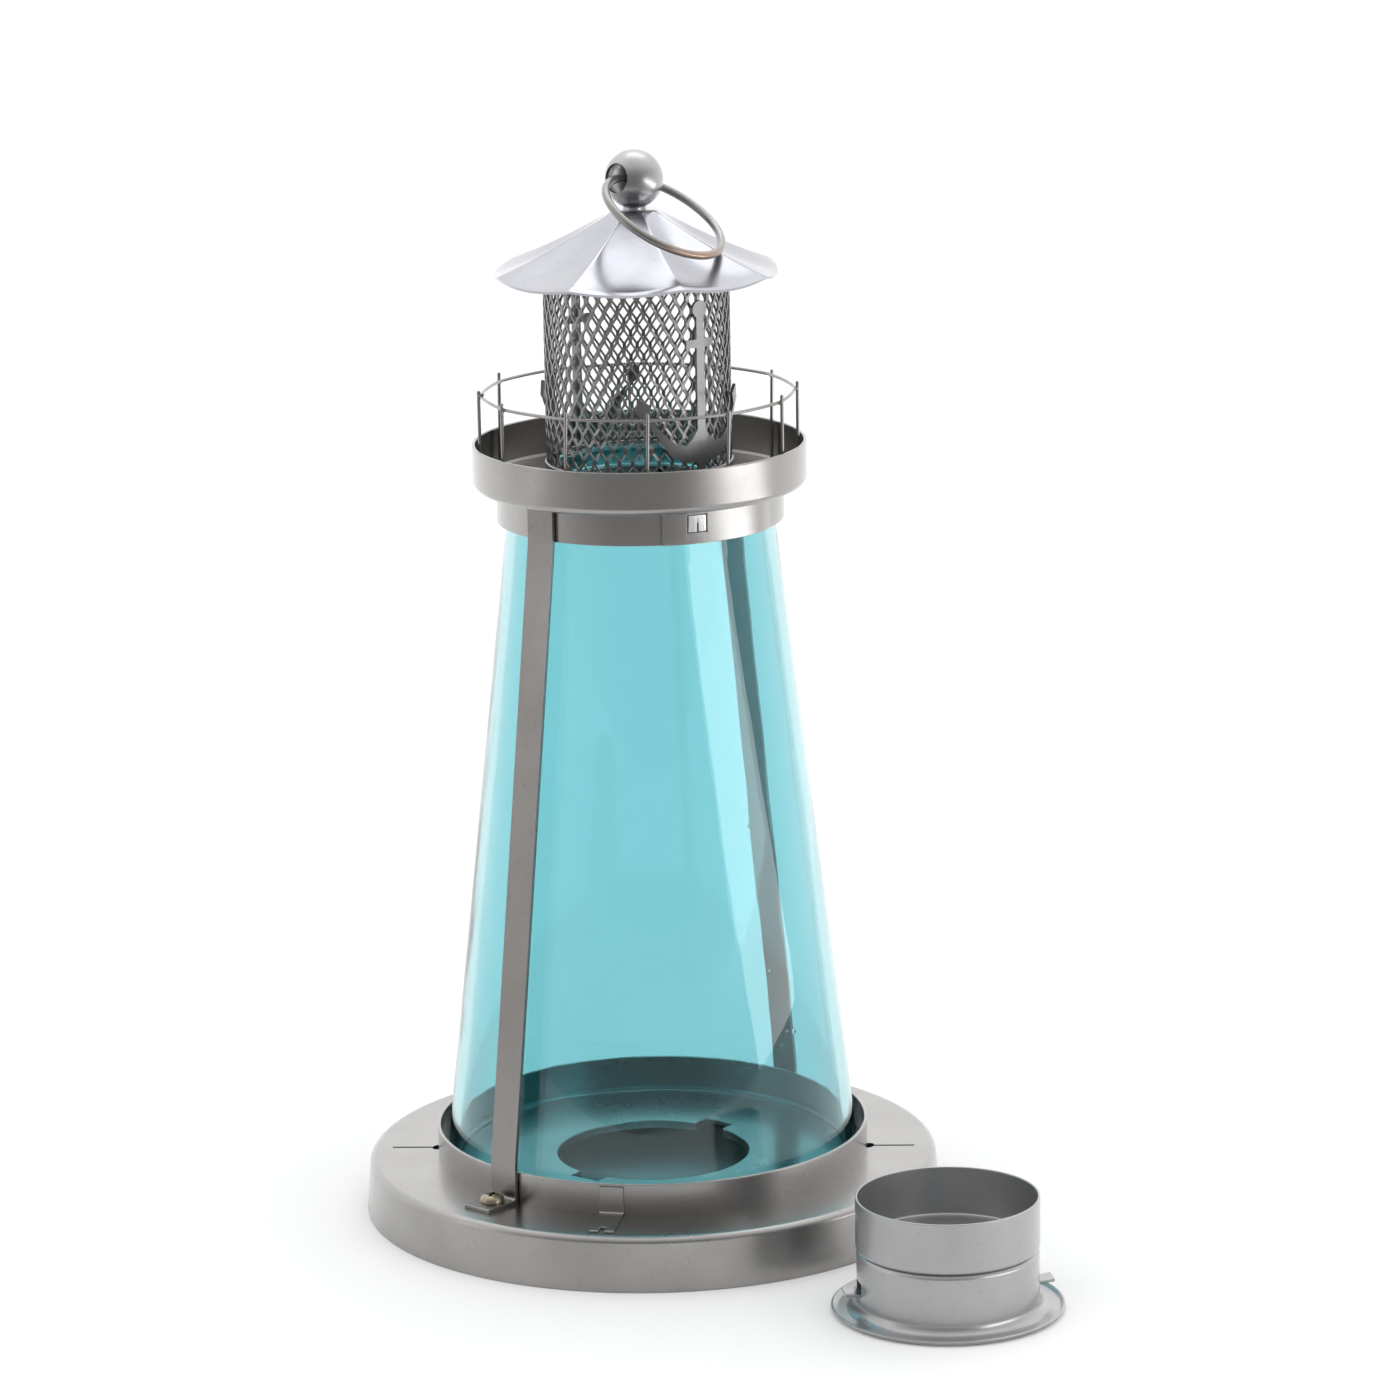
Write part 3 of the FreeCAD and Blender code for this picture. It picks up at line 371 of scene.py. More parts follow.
def rounded_face(bm, corners, plane="XZ", segments=4):
    """A flat face whose corners are rounded, from (across, up, rounding) in millimetres."""
    if plane == "XZ":
        verts = [bm.verts.new((a * MM, 0.0, b * MM)) for a, b, _ in corners]
    else:
        verts = [bm.verts.new((a * MM, b * MM, 0.0)) for a, b, _ in corners]
    bm.faces.new(verts)
    for rounding in sorted({c[2] for c in corners if c[2] > 0.0}, reverse=True):
        chosen = [vert for vert, corner in zip(verts, corners) if corner[2] == rounding]
        bmesh.ops.bevel(
            bm,
            geom=chosen,
            offset=rounding * MM,
            offset_type="OFFSET",
            segments=segments,
            profile=0.5,
            affect="VERTICES",
            material=-1,
            clamp_overlap=True,
        )
    return bm.faces[:]


def spun(corners, steps=160, segments=4):
    """A bmesh turned about Z from a closed profile of (radius, height, rounding)."""
    bm = bmesh.new()
    rounded_face(bm, corners, segments=segments)
    bmesh.ops.delete(bm, geom=bm.faces[:], context="FACES_ONLY")
    bmesh.ops.spin(
        bm,
        geom=bm.verts[:] + bm.edges[:],
        cent=(0, 0, 0),
        axis=(0, 0, 1),
        angle=FULL_TURN,
        steps=steps,
        use_merge=True,
    )
    bmesh.ops.remove_doubles(bm, verts=bm.verts[:], dist=1e-7)
    bmesh.ops.recalc_face_normals(bm, faces=bm.faces[:])
    return bm


def moved(bm, matrix):
    """Moves a whole bmesh."""
    bmesh.ops.transform(bm, matrix=matrix, verts=bm.verts[:])
    return bm


def cut_out(bm, cutters):
    """Takes closed cutter bmeshes out of a bmesh with exact booleans."""
    base_mesh = bpy.data.meshes.new("base")
    bm.to_mesh(base_mesh)
    bm.free()
    base = bpy.data.objects.new("base", base_mesh)
    bpy.context.scene.collection.objects.link(base)
    made = [base]
    for cutter in cutters:
        bmesh.ops.recalc_face_normals(cutter, faces=cutter.faces[:])
        mesh = bpy.data.meshes.new("cutter")
        cutter.to_mesh(mesh)
        cutter.free()
        tool = bpy.data.objects.new("cutter", mesh)
        bpy.context.scene.collection.objects.link(tool)
        made.append(tool)
        modifier = base.modifiers.new("cut", "BOOLEAN")
        modifier.operation = "DIFFERENCE"
        modifier.solver = "EXACT"
        modifier.object = tool
    bpy.context.view_layer.update()
    result = bpy.data.meshes.new_from_object(base.evaluated_get(bpy.context.evaluated_depsgraph_get()))
    after = bmesh.new()
    after.from_mesh(result)
    for thing in made:
        bpy.data.objects.remove(thing, do_unlink=True)
    bpy.data.meshes.remove(result)
    return after


def slab(low, high, matrix=None):
    """A box between two corners, in millimetres."""
    bm = bmesh.new()
    size = [(b - a) * MM for a, b in zip(low, high)]
    centre = [(a + b) / 2.0 * MM for a, b in zip(low, high)]
    bmesh.ops.create_cube(bm, size=1.0, matrix=Matrix.Translation(centre) @ Matrix.Diagonal((*size, 1.0)))
    return moved(bm, matrix) if matrix is not None else bm


def post_hole(x, y, radius, matrix=None):
    """A tall drill through z, in millimetres."""
    bm = bmesh.new()
    bmesh.ops.create_cone(
        bm,
        cap_ends=True,
        segments=40,
        radius1=radius * MM,
        radius2=radius * MM,
        depth=0.05,
        matrix=Matrix.Translation((x * MM, y * MM, 0.0)),
    )
    return moved(bm, matrix) if matrix is not None else bm


def bevel_sharp(bm, width, angle=35.0, segments=2):
    """Softens every edge sharper than an angle."""
    bmesh.ops.remove_doubles(bm, verts=bm.verts[:], dist=1e-7)
    bmesh.ops.dissolve_limit(
        bm, angle_limit=math.radians(0.5), verts=bm.verts[:], edges=bm.edges[:]
    )
    limit = math.radians(angle)
    edges = [e for e in bm.edges if len(e.link_faces) == 2 and e.calc_face_angle(0.0) > limit]
    bmesh.ops.bevel(
        bm,
        geom=edges,
        offset=width * MM,
        offset_type="OFFSET",
        segments=segments,
        profile=0.5,
        affect="EDGES",
        material=-1,
        clamp_overlap=True,
    )
    return bm


def strip(corners, width, segments=5):
    """A bent strip: a side profile of (radius, height, rounding), widened about the XZ plane."""
    bm = bmesh.new()
    faces = rounded_face(bm, corners, segments=segments)
    grown = bmesh.ops.extrude_face_region(bm, geom=faces)
    bmesh.ops.translate(
        bm, verts=[g for g in grown["geom"] if isinstance(g, bmesh.types.BMVert)], vec=(0, width * MM, 0)
    )
    bmesh.ops.translate(bm, verts=bm.verts[:], vec=(0, -width * MM / 2.0, 0))
    bmesh.ops.recalc_face_normals(bm, faces=bm.faces[:])
    return bm


# ---------------------------------------------------------------------------------------------
# Base and seat
# ---------------------------------------------------------------------------------------------

base = spun(
    [
        (53.5, 12.6, 0.0),
        (69.5, 12.6, 0.8),
        (70.6, 0.0, 0.25),
        (71.5, 0.0, 0.3),
        (70.4, 13.5, 1.6),
        (53.5, 13.5, 0.0),
    ],
    steps=240,
    segments=8,
)
cutters = []
for side in (0.0, 180.0):
    cutters.append(slab((54.6, -0.45, 11.0), (65.2, 0.45, 15.0), turned_to(SLIT_AZIMUTH + side)))
    inner = bmesh.new()
    rounded_face(inner, [(53.0, -1.9, 0.0), (54.9, -1.9, 1.4), (55.3, 1.9, 1.4), (53.0, 1.9, 0.0)], "XY")
    grown = bmesh.ops.extrude_face_region(inner, geom=inner.faces[:])
    bmesh.ops.translate(
        inner, verts=[g for g in grown["geom"] if isinstance(g, bmesh.types.BMVert)], vec=(0, 0, 0.004)
    )
    cutters.append(moved(inner, turned_to(SLIT_AZIMUTH + side) @ Matrix.Translation((0, 0, 0.011))))
    cutters.append(post_hole(58.6, 0.0, 1.7, turned_to(STRAP_AZIMUTH + side)))
base = cut_out(base, cutters)
add_piece("base_pan_sheet", base, PEWTER, "lantern", ["base_pan"], recalc=False)

seat = spun(
    [
        (23.75, 10.7, 0.2),
        (24.55, 10.7, 0.2),
        (24.55, 12.1, 0.3),
        (53.5, 12.1, 0.8),
        (53.5, 21.3, 0.35),
        (52.7, 21.3, 0.35),
        (52.7, 12.9, 0.6),
        (23.75, 12.9, 0.5),
    ],
    steps=240,
)
seat = cut_out(
    seat,
    [slab((19.0, -4.2, 8.0), (27.6, 4.2, 16.0), turned_to(NOTCH_AZIMUTH + side)) for side in (0.0, 180.0)],
)
add_piece("seat_pan_sheet", seat, PEWTER, "lantern", ["seat_pan"], recalc=False)

for side, name in ((0.0, "front"), (180.0, "rear")):
    clip = strip(
        [
            (53.55, 13.5, 0.0),
            (67.2, 13.5, 0.0),
            (67.2, 14.1, 0.2),
            (54.15, 14.1, 0.5),
            (54.15, 20.6, 0.2),
            (53.55, 20.6, 0.1),
        ],
        6.0,
    )
    # The end of the foot is slotted.
    clip = cut_out(clip, [slab((64.4, -0.7, 12.0), (69.0, 0.7, 16.0))])
    bevel_sharp(clip, 0.08, 40.0, 1)
    moved(clip, turned_to(CLIP_AZIMUTH + side))
    add_piece(f"seat_clip_{name}_leaf", clip, PEWTER, "lantern", [f"seat_clip_{name}"])

# ---------------------------------------------------------------------------------------------
# Glass
# ---------------------------------------------------------------------------------------------

glass = spun(
    [
        (48.7, 12.95, 0.8),
        (51.3, 12.95, 0.8),
        (32.9, 172.0, 3.0),
        (32.2, 179.5, 4.0),
        (24.8, 182.1, 2.5),
        (21.4, 183.2, 1.0),
        (21.4, 188.2, 0.9),
        (18.8, 188.2, 0.9),
        (18.8, 180.9, 1.0),
        (23.6, 179.5, 2.0),
        (29.6, 177.2, 3.0),
        (30.3, 171.5, 2.0),
    ],
    steps=192,
    segments=6,
)
add_piece("glass_chimney_blown", glass, GLASS, "lantern", ["glass_chimney"], 50.0)

# ---------------------------------------------------------------------------------------------
# Straps, screws and nuts
# ---------------------------------------------------------------------------------------------


def pan_screw():
    """Pan-head screw with a cross recess, its axis on Z."""
    bm = spun(
        [
            (0.0, 9.3, 0.0),
            (1.2, 9.3, 0.2),
            (1.5, 9.8, 0.1),
            (1.5, 14.5, 0.0),
            (3.0, 14.5, 0.1),
            (3.0, 15.5, 0.6),
            (2.0, 16.4, 0.7),
            (0.0, 16.5, 0.0),
        ],
        steps=48,
    )
    tools = []
    for quarter in (0.0, 90.0):
        tool = slab((-1.75, -0.38, 15.3), (1.75, 0.38, 17.5), Matrix.Rotation(math.radians(quarter), 4, "Z"))
        tools.append(tool)
    return cut_out(bm, tools)


for side, name in ((0.0, "front"), (180.0, "rear")):
    azimuth = STRAP_AZIMUTH + side
    strap = strip(
        [
            (35.05, 182.2, 0.1),
            (35.05, 173.8, 2.0),
            (53.65, 22.9, 3.0),
            (53.65, 13.5, 0.6),
            (64.2, 13.5, 0.1),
            (64.2, 14.5, 0.3),
            (54.65, 14.5, 0.9),
            (54.65, 23.0, 3.0),
            (36.05, 173.9, 2.0),
            (36.05, 182.2, 0.3),
        ],
        8.0,
    )
    strap = cut_out(strap, [post_hole(58.6, 0.0, 1.7)])
    bevel_sharp(strap, 0.14, 40.0, 2)
    moved(strap, turned_to(azimuth))
    add_piece(f"strap_{name}_bar", strap, STRAP_METAL, "lantern", [f"strap_{name}"])

    screw = moved(
        pan_screw(),
        turned_to(azimuth) @ Matrix.Translation((58.6 * MM, 0, 0)) @ Matrix.Rotation(0.4, 4, "Z"),
    )
    add_piece(
        f"strap_screw_{name}_pan",
        screw,
        SCREW_METAL,
        "lantern",
        [f"strap_screw_{name}"],
        30.0,
        False,
    )
    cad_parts[f"strap_nut_{name}"].data.materials.clear()
    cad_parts[f"strap_nut_{name}"].data.materials.append(SCREW_METAL)

# ---------------------------------------------------------------------------------------------
# Neck band: one strip rolled into a ring, its end lapped over its start
# ---------------------------------------------------------------------------------------------

BAND_LOW, BAND_HIGH = 174.2, 182.3


BAND_LAP = 46.0


def wrap(bm, start, radius, lift=None):
    """Rolls a flat strip up: local x is degrees from the start, y is outwards."""
    for vert in bm.verts:
        along = vert.co.x / MM
        out = radius * MM + vert.co.y + (lift(along) * MM if lift else 0.0)
        turn = math.radians(start + along)
        vert.co.x, vert.co.y = out * math.sin(turn), -out * math.cos(turn)
    return bm


def cross_cuts(bm, stations):
    """Edges across a flat piece, so that it can be curved."""
    for station in stations:
        bmesh.ops.bisect_plane(
            bm,
            geom=bm.verts[:] + bm.edges[:] + bm.faces[:],
            plane_co=(station * MM, 0, 0),
            plane_no=(1, 0, 0),
            dist=1e-7,
        )
    return bm


def band_lift(along):
    """The strip's start lies on its own end, then steps down to the plain radius."""
    return 0.82 * (1.0 - min(1.0, max(0.0, (along - BAND_LAP) / 9.0)))


# The window opens only in the outer layer; the tongue of the inner layer shows in it.
WINDOW_MIDDLE = WINDOW_AZIMUTH - BAND_SEAM_AZIMUTH
band = slab((0.0, -0.8, BAND_LOW), (360.0 + BAND_LAP - 1.0, 0.0, BAND_HIGH))
band = cut_out(band, [slab((WINDOW_MIDDLE - 4.2, -3.0, 176.9), (WINDOW_MIDDLE + 4.2, 3.0, 181.3))])
bevel_sharp(band, 0.13, 40.0, 2)
cross_cuts(band, [2.0 * step + 0.9 for step in range(202)])
wrap(band, BAND_SEAM_AZIMUTH, 35.0, band_lift)
add_piece("neck_band_lapped", band, PEWTER, "lantern", ["neck_band"])

tab = slab((-3.4, 0.05, 177.0), (4.0, 0.5, 181.0))
tab = cut_out(tab, [slab((0.0, -1.0, 176.0), (0.75, 1.0, 179.2))])
bevel_sharp(tab, 0.14, 40.0, 2)
cross_cuts(tab, [step - 3.0 for step in range(7)])
wrap(tab, WINDOW_AZIMUTH, 35.0)
# The tongue is drawn in a painted highlight instead of the band's pewter colour.
add_piece("neck_band_tongue", tab, TAB_PAINTED_HIGHLIGHT, "lantern", ["neck_band_tab"])

# ---------------------------------------------------------------------------------------------
# Gallery pan and railing
# ---------------------------------------------------------------------------------------------

gallery = spun(
    [
        (22.0, 182.4, 0.5),
        (40.6, 182.4, 1.9),
        (40.6, 193.1, 0.3),
        (39.8, 193.1, 0.3),
        (39.8, 183.2, 1.1),
        (22.8, 183.2, 0.6),
        (22.8, 187.4, 0.25),
        (22.0, 187.4, 0.25),
    ],
    steps=240,
    segments=8,
)
add_piece("gallery_pan_pressed", gallery, PEWTER, "lantern", ["gallery_pan"])

POST_CIRCLE, GALLERY_FLOOR = 38.6, 183.2
POST_AZIMUTHS = [2.5 + 30.0 * step for step in range(12)]


def rod(radius, low, high, sides=20, round_top=0.35):
    """A drawn wire on Z with softened ends, in millimetres."""
    return spun(
        [(0.0, low, 0.0), (radius, low, 0.1), (radius, high, round_top), (0.0, high, 0.0)],
        steps=sides,
        segments=3,
    )


def leaning(number, azimuth):
    """Each post leans a trace its own way about its foot."""
    foot = Matrix.Translation((POST_CIRCLE * MM, 0, GALLERY_FLOOR * MM))
    tip = Matrix.Rotation(0.035 * math.sin(5.1 * number + 0.6), 4, "X")
    return turned_to(azimuth) @ foot @ tip @ Matrix.Translation((0, 0, -GALLERY_FLOOR * MM))


for number, azimuth in enumerate(POST_AZIMUTHS, 1):
    post = moved(rod(0.42, 183.22, 206.6 + 0.5 * math.sin(2.3 * number)), leaning(number, azimuth))
    add_piece(
        f"railing_post_{number:02d}_wire",
        post,
        WIRE_METAL,
        "lantern",
        [f"railing_post_{number:02d}"],
        40.0,
    )


def handrail():
    """Wire hoop bent from post to post, its two ends lapped beside the left post."""
    bm = bmesh.new()
    bmesh.ops.create_circle(
        bm,
        cap_ends=True,
        radius=0.4 * MM,
        segments=14,
        matrix=Matrix.Translation((38.0 * MM, 0, 0)) @ Matrix.Rotation(math.pi / 2.0, 4, "X"),
    )
    lap = 9.0
    steps = 246
    bmesh.ops.spin(
        bm,
        geom=bm.faces[:],
        cent=(0, 0, 0),
        axis=(0, 0, 1),
        angle=math.radians(360.0 + lap),
        steps=steps,
        use_merge=False,
    )
    bm.verts.ensure_lookup_table()
    ring = 14
    for index, vert in enumerate(bm.verts):
        along = index // ring * (360.0 + lap) / steps
        # Between posts the wire runs nearly straight, so it dips inwards.
        phase = (along - POST_SHIFT) / 30.0
        swing = abs(phase - round(phase)) * 2.0
        dip = 0.5 * (1.0 - (1.0 - swing) ** 2)
        flat = Vector((vert.co.x, vert.co.y, 0.0)).normalized()
        vert.co -= flat * dip * MM
        # The lapped ends pass one over the other.
        over = 0.0
        if along < 14.0:
            over = -0.45 * (1.0 - along / 14.0)
        elif along > 346.0 + lap:
            over = 0.45 * (along - 346.0 - lap) / 14.0
        vert.co.z += over * MM
    bmesh.ops.recalc_face_normals(bm, faces=bm.faces[:])
    return bm


# The hoop starts at the left; its posts fall this far round from there.
HOOP_START = -94.0
POST_SHIFT = (2.5 - HOOP_START) % 30.0
hoop = handrail()
moved(hoop, Matrix.Translation((0, 0, 205.0 * MM)) @ turned_to(HOOP_START))
add_piece("railing_hoop_wire", hoop, WIRE_METAL, "lantern", ["railing_hoop"], 50.0, False)
for number, azimuth in enumerate(POST_AZIMUTHS, 1):
    # A small weld bead where each post meets the rail.
    bead = bmesh.new()
    bmesh.ops.create_icosphere(bead, subdivisions=2, radius=0.62 * MM)
    moved(bead, leaning(number, azimuth) @ Matrix.Translation((-0.3 * MM, 0, 204.9 * MM)))
    add_piece(f"railing_weld_{number:02d}", bead, WIRE_METAL, "lantern", [], 50.0, False)

# ---------------------------------------------------------------------------------------------
# Lamp room: expanded metal between two hems
# ---------------------------------------------------------------------------------------------

MESH_AROUND = 44
MESH_ROWS = 8
MESH_LOW, MESH_HIGH = 188.6, 236.4


def expanded_metal():
    """Short slanted strands, each a small box, that meet in lozenges."""
    bm = bmesh.new()
    row = (MESH_HIGH - MESH_LOW) / MESH_ROWS
    pitch = 360.0 / MESH_AROUND
    radius = 22.3
    for level in range(MESH_ROWS * 2):
        z0 = MESH_LOW + level * row / 2.0
        z1 = z0 + row / 2.0
        shift = 0.5 * (level % 2)
        for step in range(MESH_AROUND):
            for way in (-0.5, 0.5):
                a0 = math.radians((step + shift) * pitch)
                a1 = math.radians((step + shift + way) * pitch)
                start = Vector((radius * math.cos(a0), radius * math.sin(a0), z0 + 0.35)) * MM
                end = Vector((radius * math.cos(a1), radius * math.sin(a1), z1 - 0.35)) * MM
                run = (end - start).normalized()
                out = Vector((start.x + end.x, start.y + end.y, 0.0)).normalized()
                side = run.cross(out).normalized()
                out = side.cross(run).normalized()
                # The strands of expanded metal stand twisted to the sheet.
                twist = 0.22 if way > 0 else -0.22
                across = side * math.cos(twist) + out * math.sin(twist)
                through = -side * math.sin(twist) + out * math.cos(twist)
                size = ((end - start).length + 0.25 * MM, 0.5 * MM, 0.45 * MM)
                frame_of = Matrix(
                    (
                        (run.x * size[0], across.x * size[1], through.x * size[2], (start.x + end.x) / 2),
                        (run.y * size[0], across.y * size[1], through.y * size[2], (start.y + end.y) / 2),
                        (run.z * size[0], across.z * size[1], through.z * size[2], (start.z + end.z) / 2),
                        (0, 0, 0, 1),
                    )
                )
                bmesh.ops.create_cube(bm, size=1.0, matrix=frame_of)
            # Neighbouring strands share a short bond.
            bond = Matrix.Rotation(math.radians((step + shift) * pitch), 4, "Z") @ Matrix.Translation(
                (radius * MM, 0, z0 * MM)
            )
            bond_size = Matrix.Diagonal((0.5 * MM, 0.85 * MM, 1.25 * MM, 1.0))
            bmesh.ops.create_cube(bm, size=1.0, matrix=bond @ bond_size)
    return bm


lattice = expanded_metal()
for vert in lattice.verts:
    vert.co.z = min(max(vert.co.z, 188.4 * MM), 236.5 * MM)
add_piece("lamp_room_lattice", lattice, MESH_METAL, "lantern", ["lamp_room_mesh"], 20.0, False)

for name, low, high in (("lower", 187.4, 188.8), ("upper", 236.2, 237.2)):
    hem = spun(
        [(21.7, low, 0.3), (23.1, low, 0.5), (23.1, high, 0.5), (21.7, high, 0.3)], steps=128, segments=4
    )
    add_piece(f"mesh_hem_{name}_fold", hem, MESH_METAL, "lantern", [f"mesh_hem_{name}"])

# ---------------------------------------------------------------------------------------------
# Anchors: cut from sheet and curved to the mesh
# ---------------------------------------------------------------------------------------------


def disc(x, z, radius, depth, sides=32):
    """A flat round plate in the XZ plane."""
    bm = bmesh.new()
    bmesh.ops.create_cone(
        bm,
        cap_ends=True,
        segments=sides,
        radius1=radius * MM,
        radius2=radius * MM,
        depth=depth * MM,
        matrix=Matrix.Translation((x * MM, 0, z * MM)) @ Matrix.Rotation(math.pi / 2.0, 4, "X"),
    )
    return bm


def plate(points, depth):
    """A flat plate in the XZ plane from its outline."""
    bm = bmesh.new()
    face = bm.faces.new([bm.verts.new((x * MM, 0, z * MM)) for x, z in points])
    grown = bmesh.ops.extrude_face_region(bm, geom=[face])
    bmesh.ops.translate(
        bm, verts=[g for g in grown["geom"] if isinstance(g, bmesh.types.BMVert)], vec=(0, depth * MM, 0)
    )
    bmesh.ops.translate(bm, verts=bm.verts[:], vec=(0, -depth * MM / 2.0, 0))
    bmesh.ops.recalc_face_normals(bm, faces=bm.faces[:])
    return bm


def join(parts):
    """Exact union of closed bmeshes."""
    made = []
    for part in parts:
        bmesh.ops.recalc_face_normals(part, faces=part.faces[:])
        mesh = bpy.data.meshes.new("union")
        part.to_mesh(mesh)
        part.free()
        thing = bpy.data.objects.new("union", mesh)
        bpy.context.scene.collection.objects.link(thing)
        made.append(thing)
    for other in made[1:]:
        modifier = made[0].modifiers.new("join", "BOOLEAN")
        modifier.operation = "UNION"
        modifier.solver = "EXACT"
        modifier.object = other
    bpy.context.view_layer.update()
    mesh = bpy.data.meshes.new_from_object(made[0].evaluated_get(bpy.context.evaluated_depsgraph_get()))
    bm = bmesh.new()
    bm.from_mesh(mesh)
    for thing in made:
        bpy.data.objects.remove(thing, do_unlink=True)
    bpy.data.meshes.remove(mesh)
    return bm


ANCHOR_LOW, ANCHOR_EYE = 189.4, 228.2


def anchor():
    """Anchor in the XZ plane, its crown at the bottom, ready to be rolled round the lamp room."""
    gauge = 0.8
    low, eye = ANCHOR_LOW, ANCHOR_EYE
    stock = eye - 8.2
    outer = [
        (0.0, 1.8), (3.5, 2.0), (5.6, 2.45), (7.4, 3.3),
        (8.8, 4.6), (9.9, 6.2), (12.1, 9.6), (13.7, 12.0),
    ]
    inner = [
        (12.8, 12.6), (11.0, 10.5), (9.8, 9.2), (8.6, 8.0),
        (6.6, 6.5), (4.6, 6.1), (2.6, 7.6), (1.1, 10.0),
    ]
    arms = outer + inner
    fluke = [(15.8, 18.2), (12.9, 16.4), (13.8, 13.6), (12.8, 12.3), (13.8, 11.8), (14.8, 13.3), (16.8, 14.8)]
    bar = [(-4.0, -0.9), (0.0, -1.1), (4.0, -0.9), (4.0, 0.9), (0.0, 1.1), (-4.0, 0.9)]
    parts = [
        plate([(-1.2, low + 2.0), (1.2, low + 2.0), (1.08, eye - 1.0), (-1.08, eye - 1.0)], gauge),
        disc(0.0, eye, 2.1, gauge * 1.02),
        plate([(x, stock + z) for x, z in bar], gauge * 0.98),
        plate([(-1.0, low), (1.0, low), (1.0, low + 3.0), (-1.0, low + 3.0)], gauge * 0.96),
        plate([(x, low + z) for x, z in arms] + [(-x, low + z) for x, z in arms[:0:-1]], gauge * 0.97),
    ]
    for side in (-1.0, 1.0):
        parts.append(plate([(side * x, low + z) for x, z in fluke], gauge * 0.95))
    body = join(parts)
    bmesh.ops.remove_doubles(body, verts=body.verts[:], dist=1e-6)
    return cross_cuts(body, range(-16, 17))


for azimuth, name, lean in ((ANCHOR_AZIMUTH, "front", 0.0), (ANCHOR_AZIMUTH + 180.0, "rear", -0.02)):
    piece = anchor()
    base_radius = 23.8
    for vert in piece.verts:
        across, through, up = vert.co.x, vert.co.y, vert.co.z
        turn = across / (base_radius * MM)
        out = base_radius * MM + through
        vert.co = Vector((out * math.cos(turn), out * math.sin(turn), up + lean * across))
    moved(piece, turned_to(azimuth))
    add_piece(f"anchor_{name}_plate", piece, ANCHOR_METAL, "lantern", [f"anchor_{name}"], 30.0)

# ---------------------------------------------------------------------------------------------
# Roof
# ---------------------------------------------------------------------------------------------


CROWN_RADIUS, CROWN, EAVE_RADIUS, EAVE = 5.5, 249.6, 34.9, 235.2
ROOF_FLUTE, ROOF_SCALLOP, ROOF_GAUGE = 1.9, 0.7, 0.7


def roof_dish(fraction):
    """How far the slope hangs below a straight line."""
    return 0.9 * math.sin(math.pi * min(1.0, fraction / 0.95)) ** 0.8 if fraction < 0.95 else 0.0


def roof():
    """Pressed cone with eight sharp ridges, the sheet sagging between them to a waved eave."""
    bm = bmesh.new()
    line = [0.0, 2.0, 4.0] + [CROWN_RADIUS + (EAVE_RADIUS - CROWN_RADIUS) * step / 44.0 for step in range(45)]
    verts = [bm.verts.new((radius * MM, 0, 0)) for radius in line]
    for first, second in zip(verts, verts[1:]):
        bm.edges.new((first, second))
    # Steps fall on the ridges, so each keeps its crease.
    bmesh.ops.rotate(bm, verts=bm.verts[:], cent=(0, 0, 0), matrix=turned_to(RIDGE_AZIMUTH).to_3x3())
    bmesh.ops.spin(
        bm,
        geom=bm.verts[:] + bm.edges[:],
        cent=(0, 0, 0),
        axis=(0, 0, 1),
        angle=FULL_TURN,
        steps=256,
        use_merge=True,
    )
    bmesh.ops.remove_doubles(bm, verts=bm.verts[:], dist=1e-7)
    for vert in bm.verts:
        radius = math.hypot(vert.co.x, vert.co.y) / MM
        fraction = max(0.0, (radius - CROWN_RADIUS) / (EAVE_RADIUS - CROWN_RADIUS))
        azimuth = math.degrees(math.atan2(vert.co.x, -vert.co.y))
        turn = (azimuth - RIDGE_AZIMUTH) / 45.0
        valley = math.sin(math.pi * (turn % 1.0))
        # No two flutes of the pressing are quite alike.
        uneven = 1.0 + 0.12 * math.sin(1.7 * math.floor(turn) + 0.9)
        height = CROWN + fraction * (EAVE - CROWN) - roof_dish(fraction)
        if fraction > 0.0:
            sag = math.sin(math.pi * min(1.0, fraction * 0.8 + 0.02))
            height -= ROOF_FLUTE * uneven * valley * sag
        # The crown is a low dome.
        height += 0.12 * max(0.0, 1.0 - (radius / CROWN_RADIUS) ** 2)
        height += 0.12 * fraction * math.sin(math.radians(azimuth) * 3.0 + 0.4)
        pull = ROOF_SCALLOP * fraction * valley / max(radius, 1.0)
        vert.co.x *= 1.0 - pull
        vert.co.y *= 1.0 - pull
        vert.co.z = height * MM
    bmesh.ops.recalc_face_normals(bm, faces=bm.faces[:])
    if sum(face.normal.z for face in bm.faces) < 0:
        bmesh.ops.reverse_faces(bm, faces=bm.faces[:])
    # Positive thickness grows the sheet inwards, below the shape above.
    bmesh.ops.solidify(bm, geom=bm.faces[:], thickness=ROOF_GAUGE * MM)
    bmesh.ops.recalc_face_normals(bm, faces=bm.faces[:])
    return bm


add_piece("roof_pressing", roof(), ROOF_METAL, "lantern", ["roof"], 50.0)

# ---------------------------------------------------------------------------------------------
# Ball, stem and ring
# ---------------------------------------------------------------------------------------------


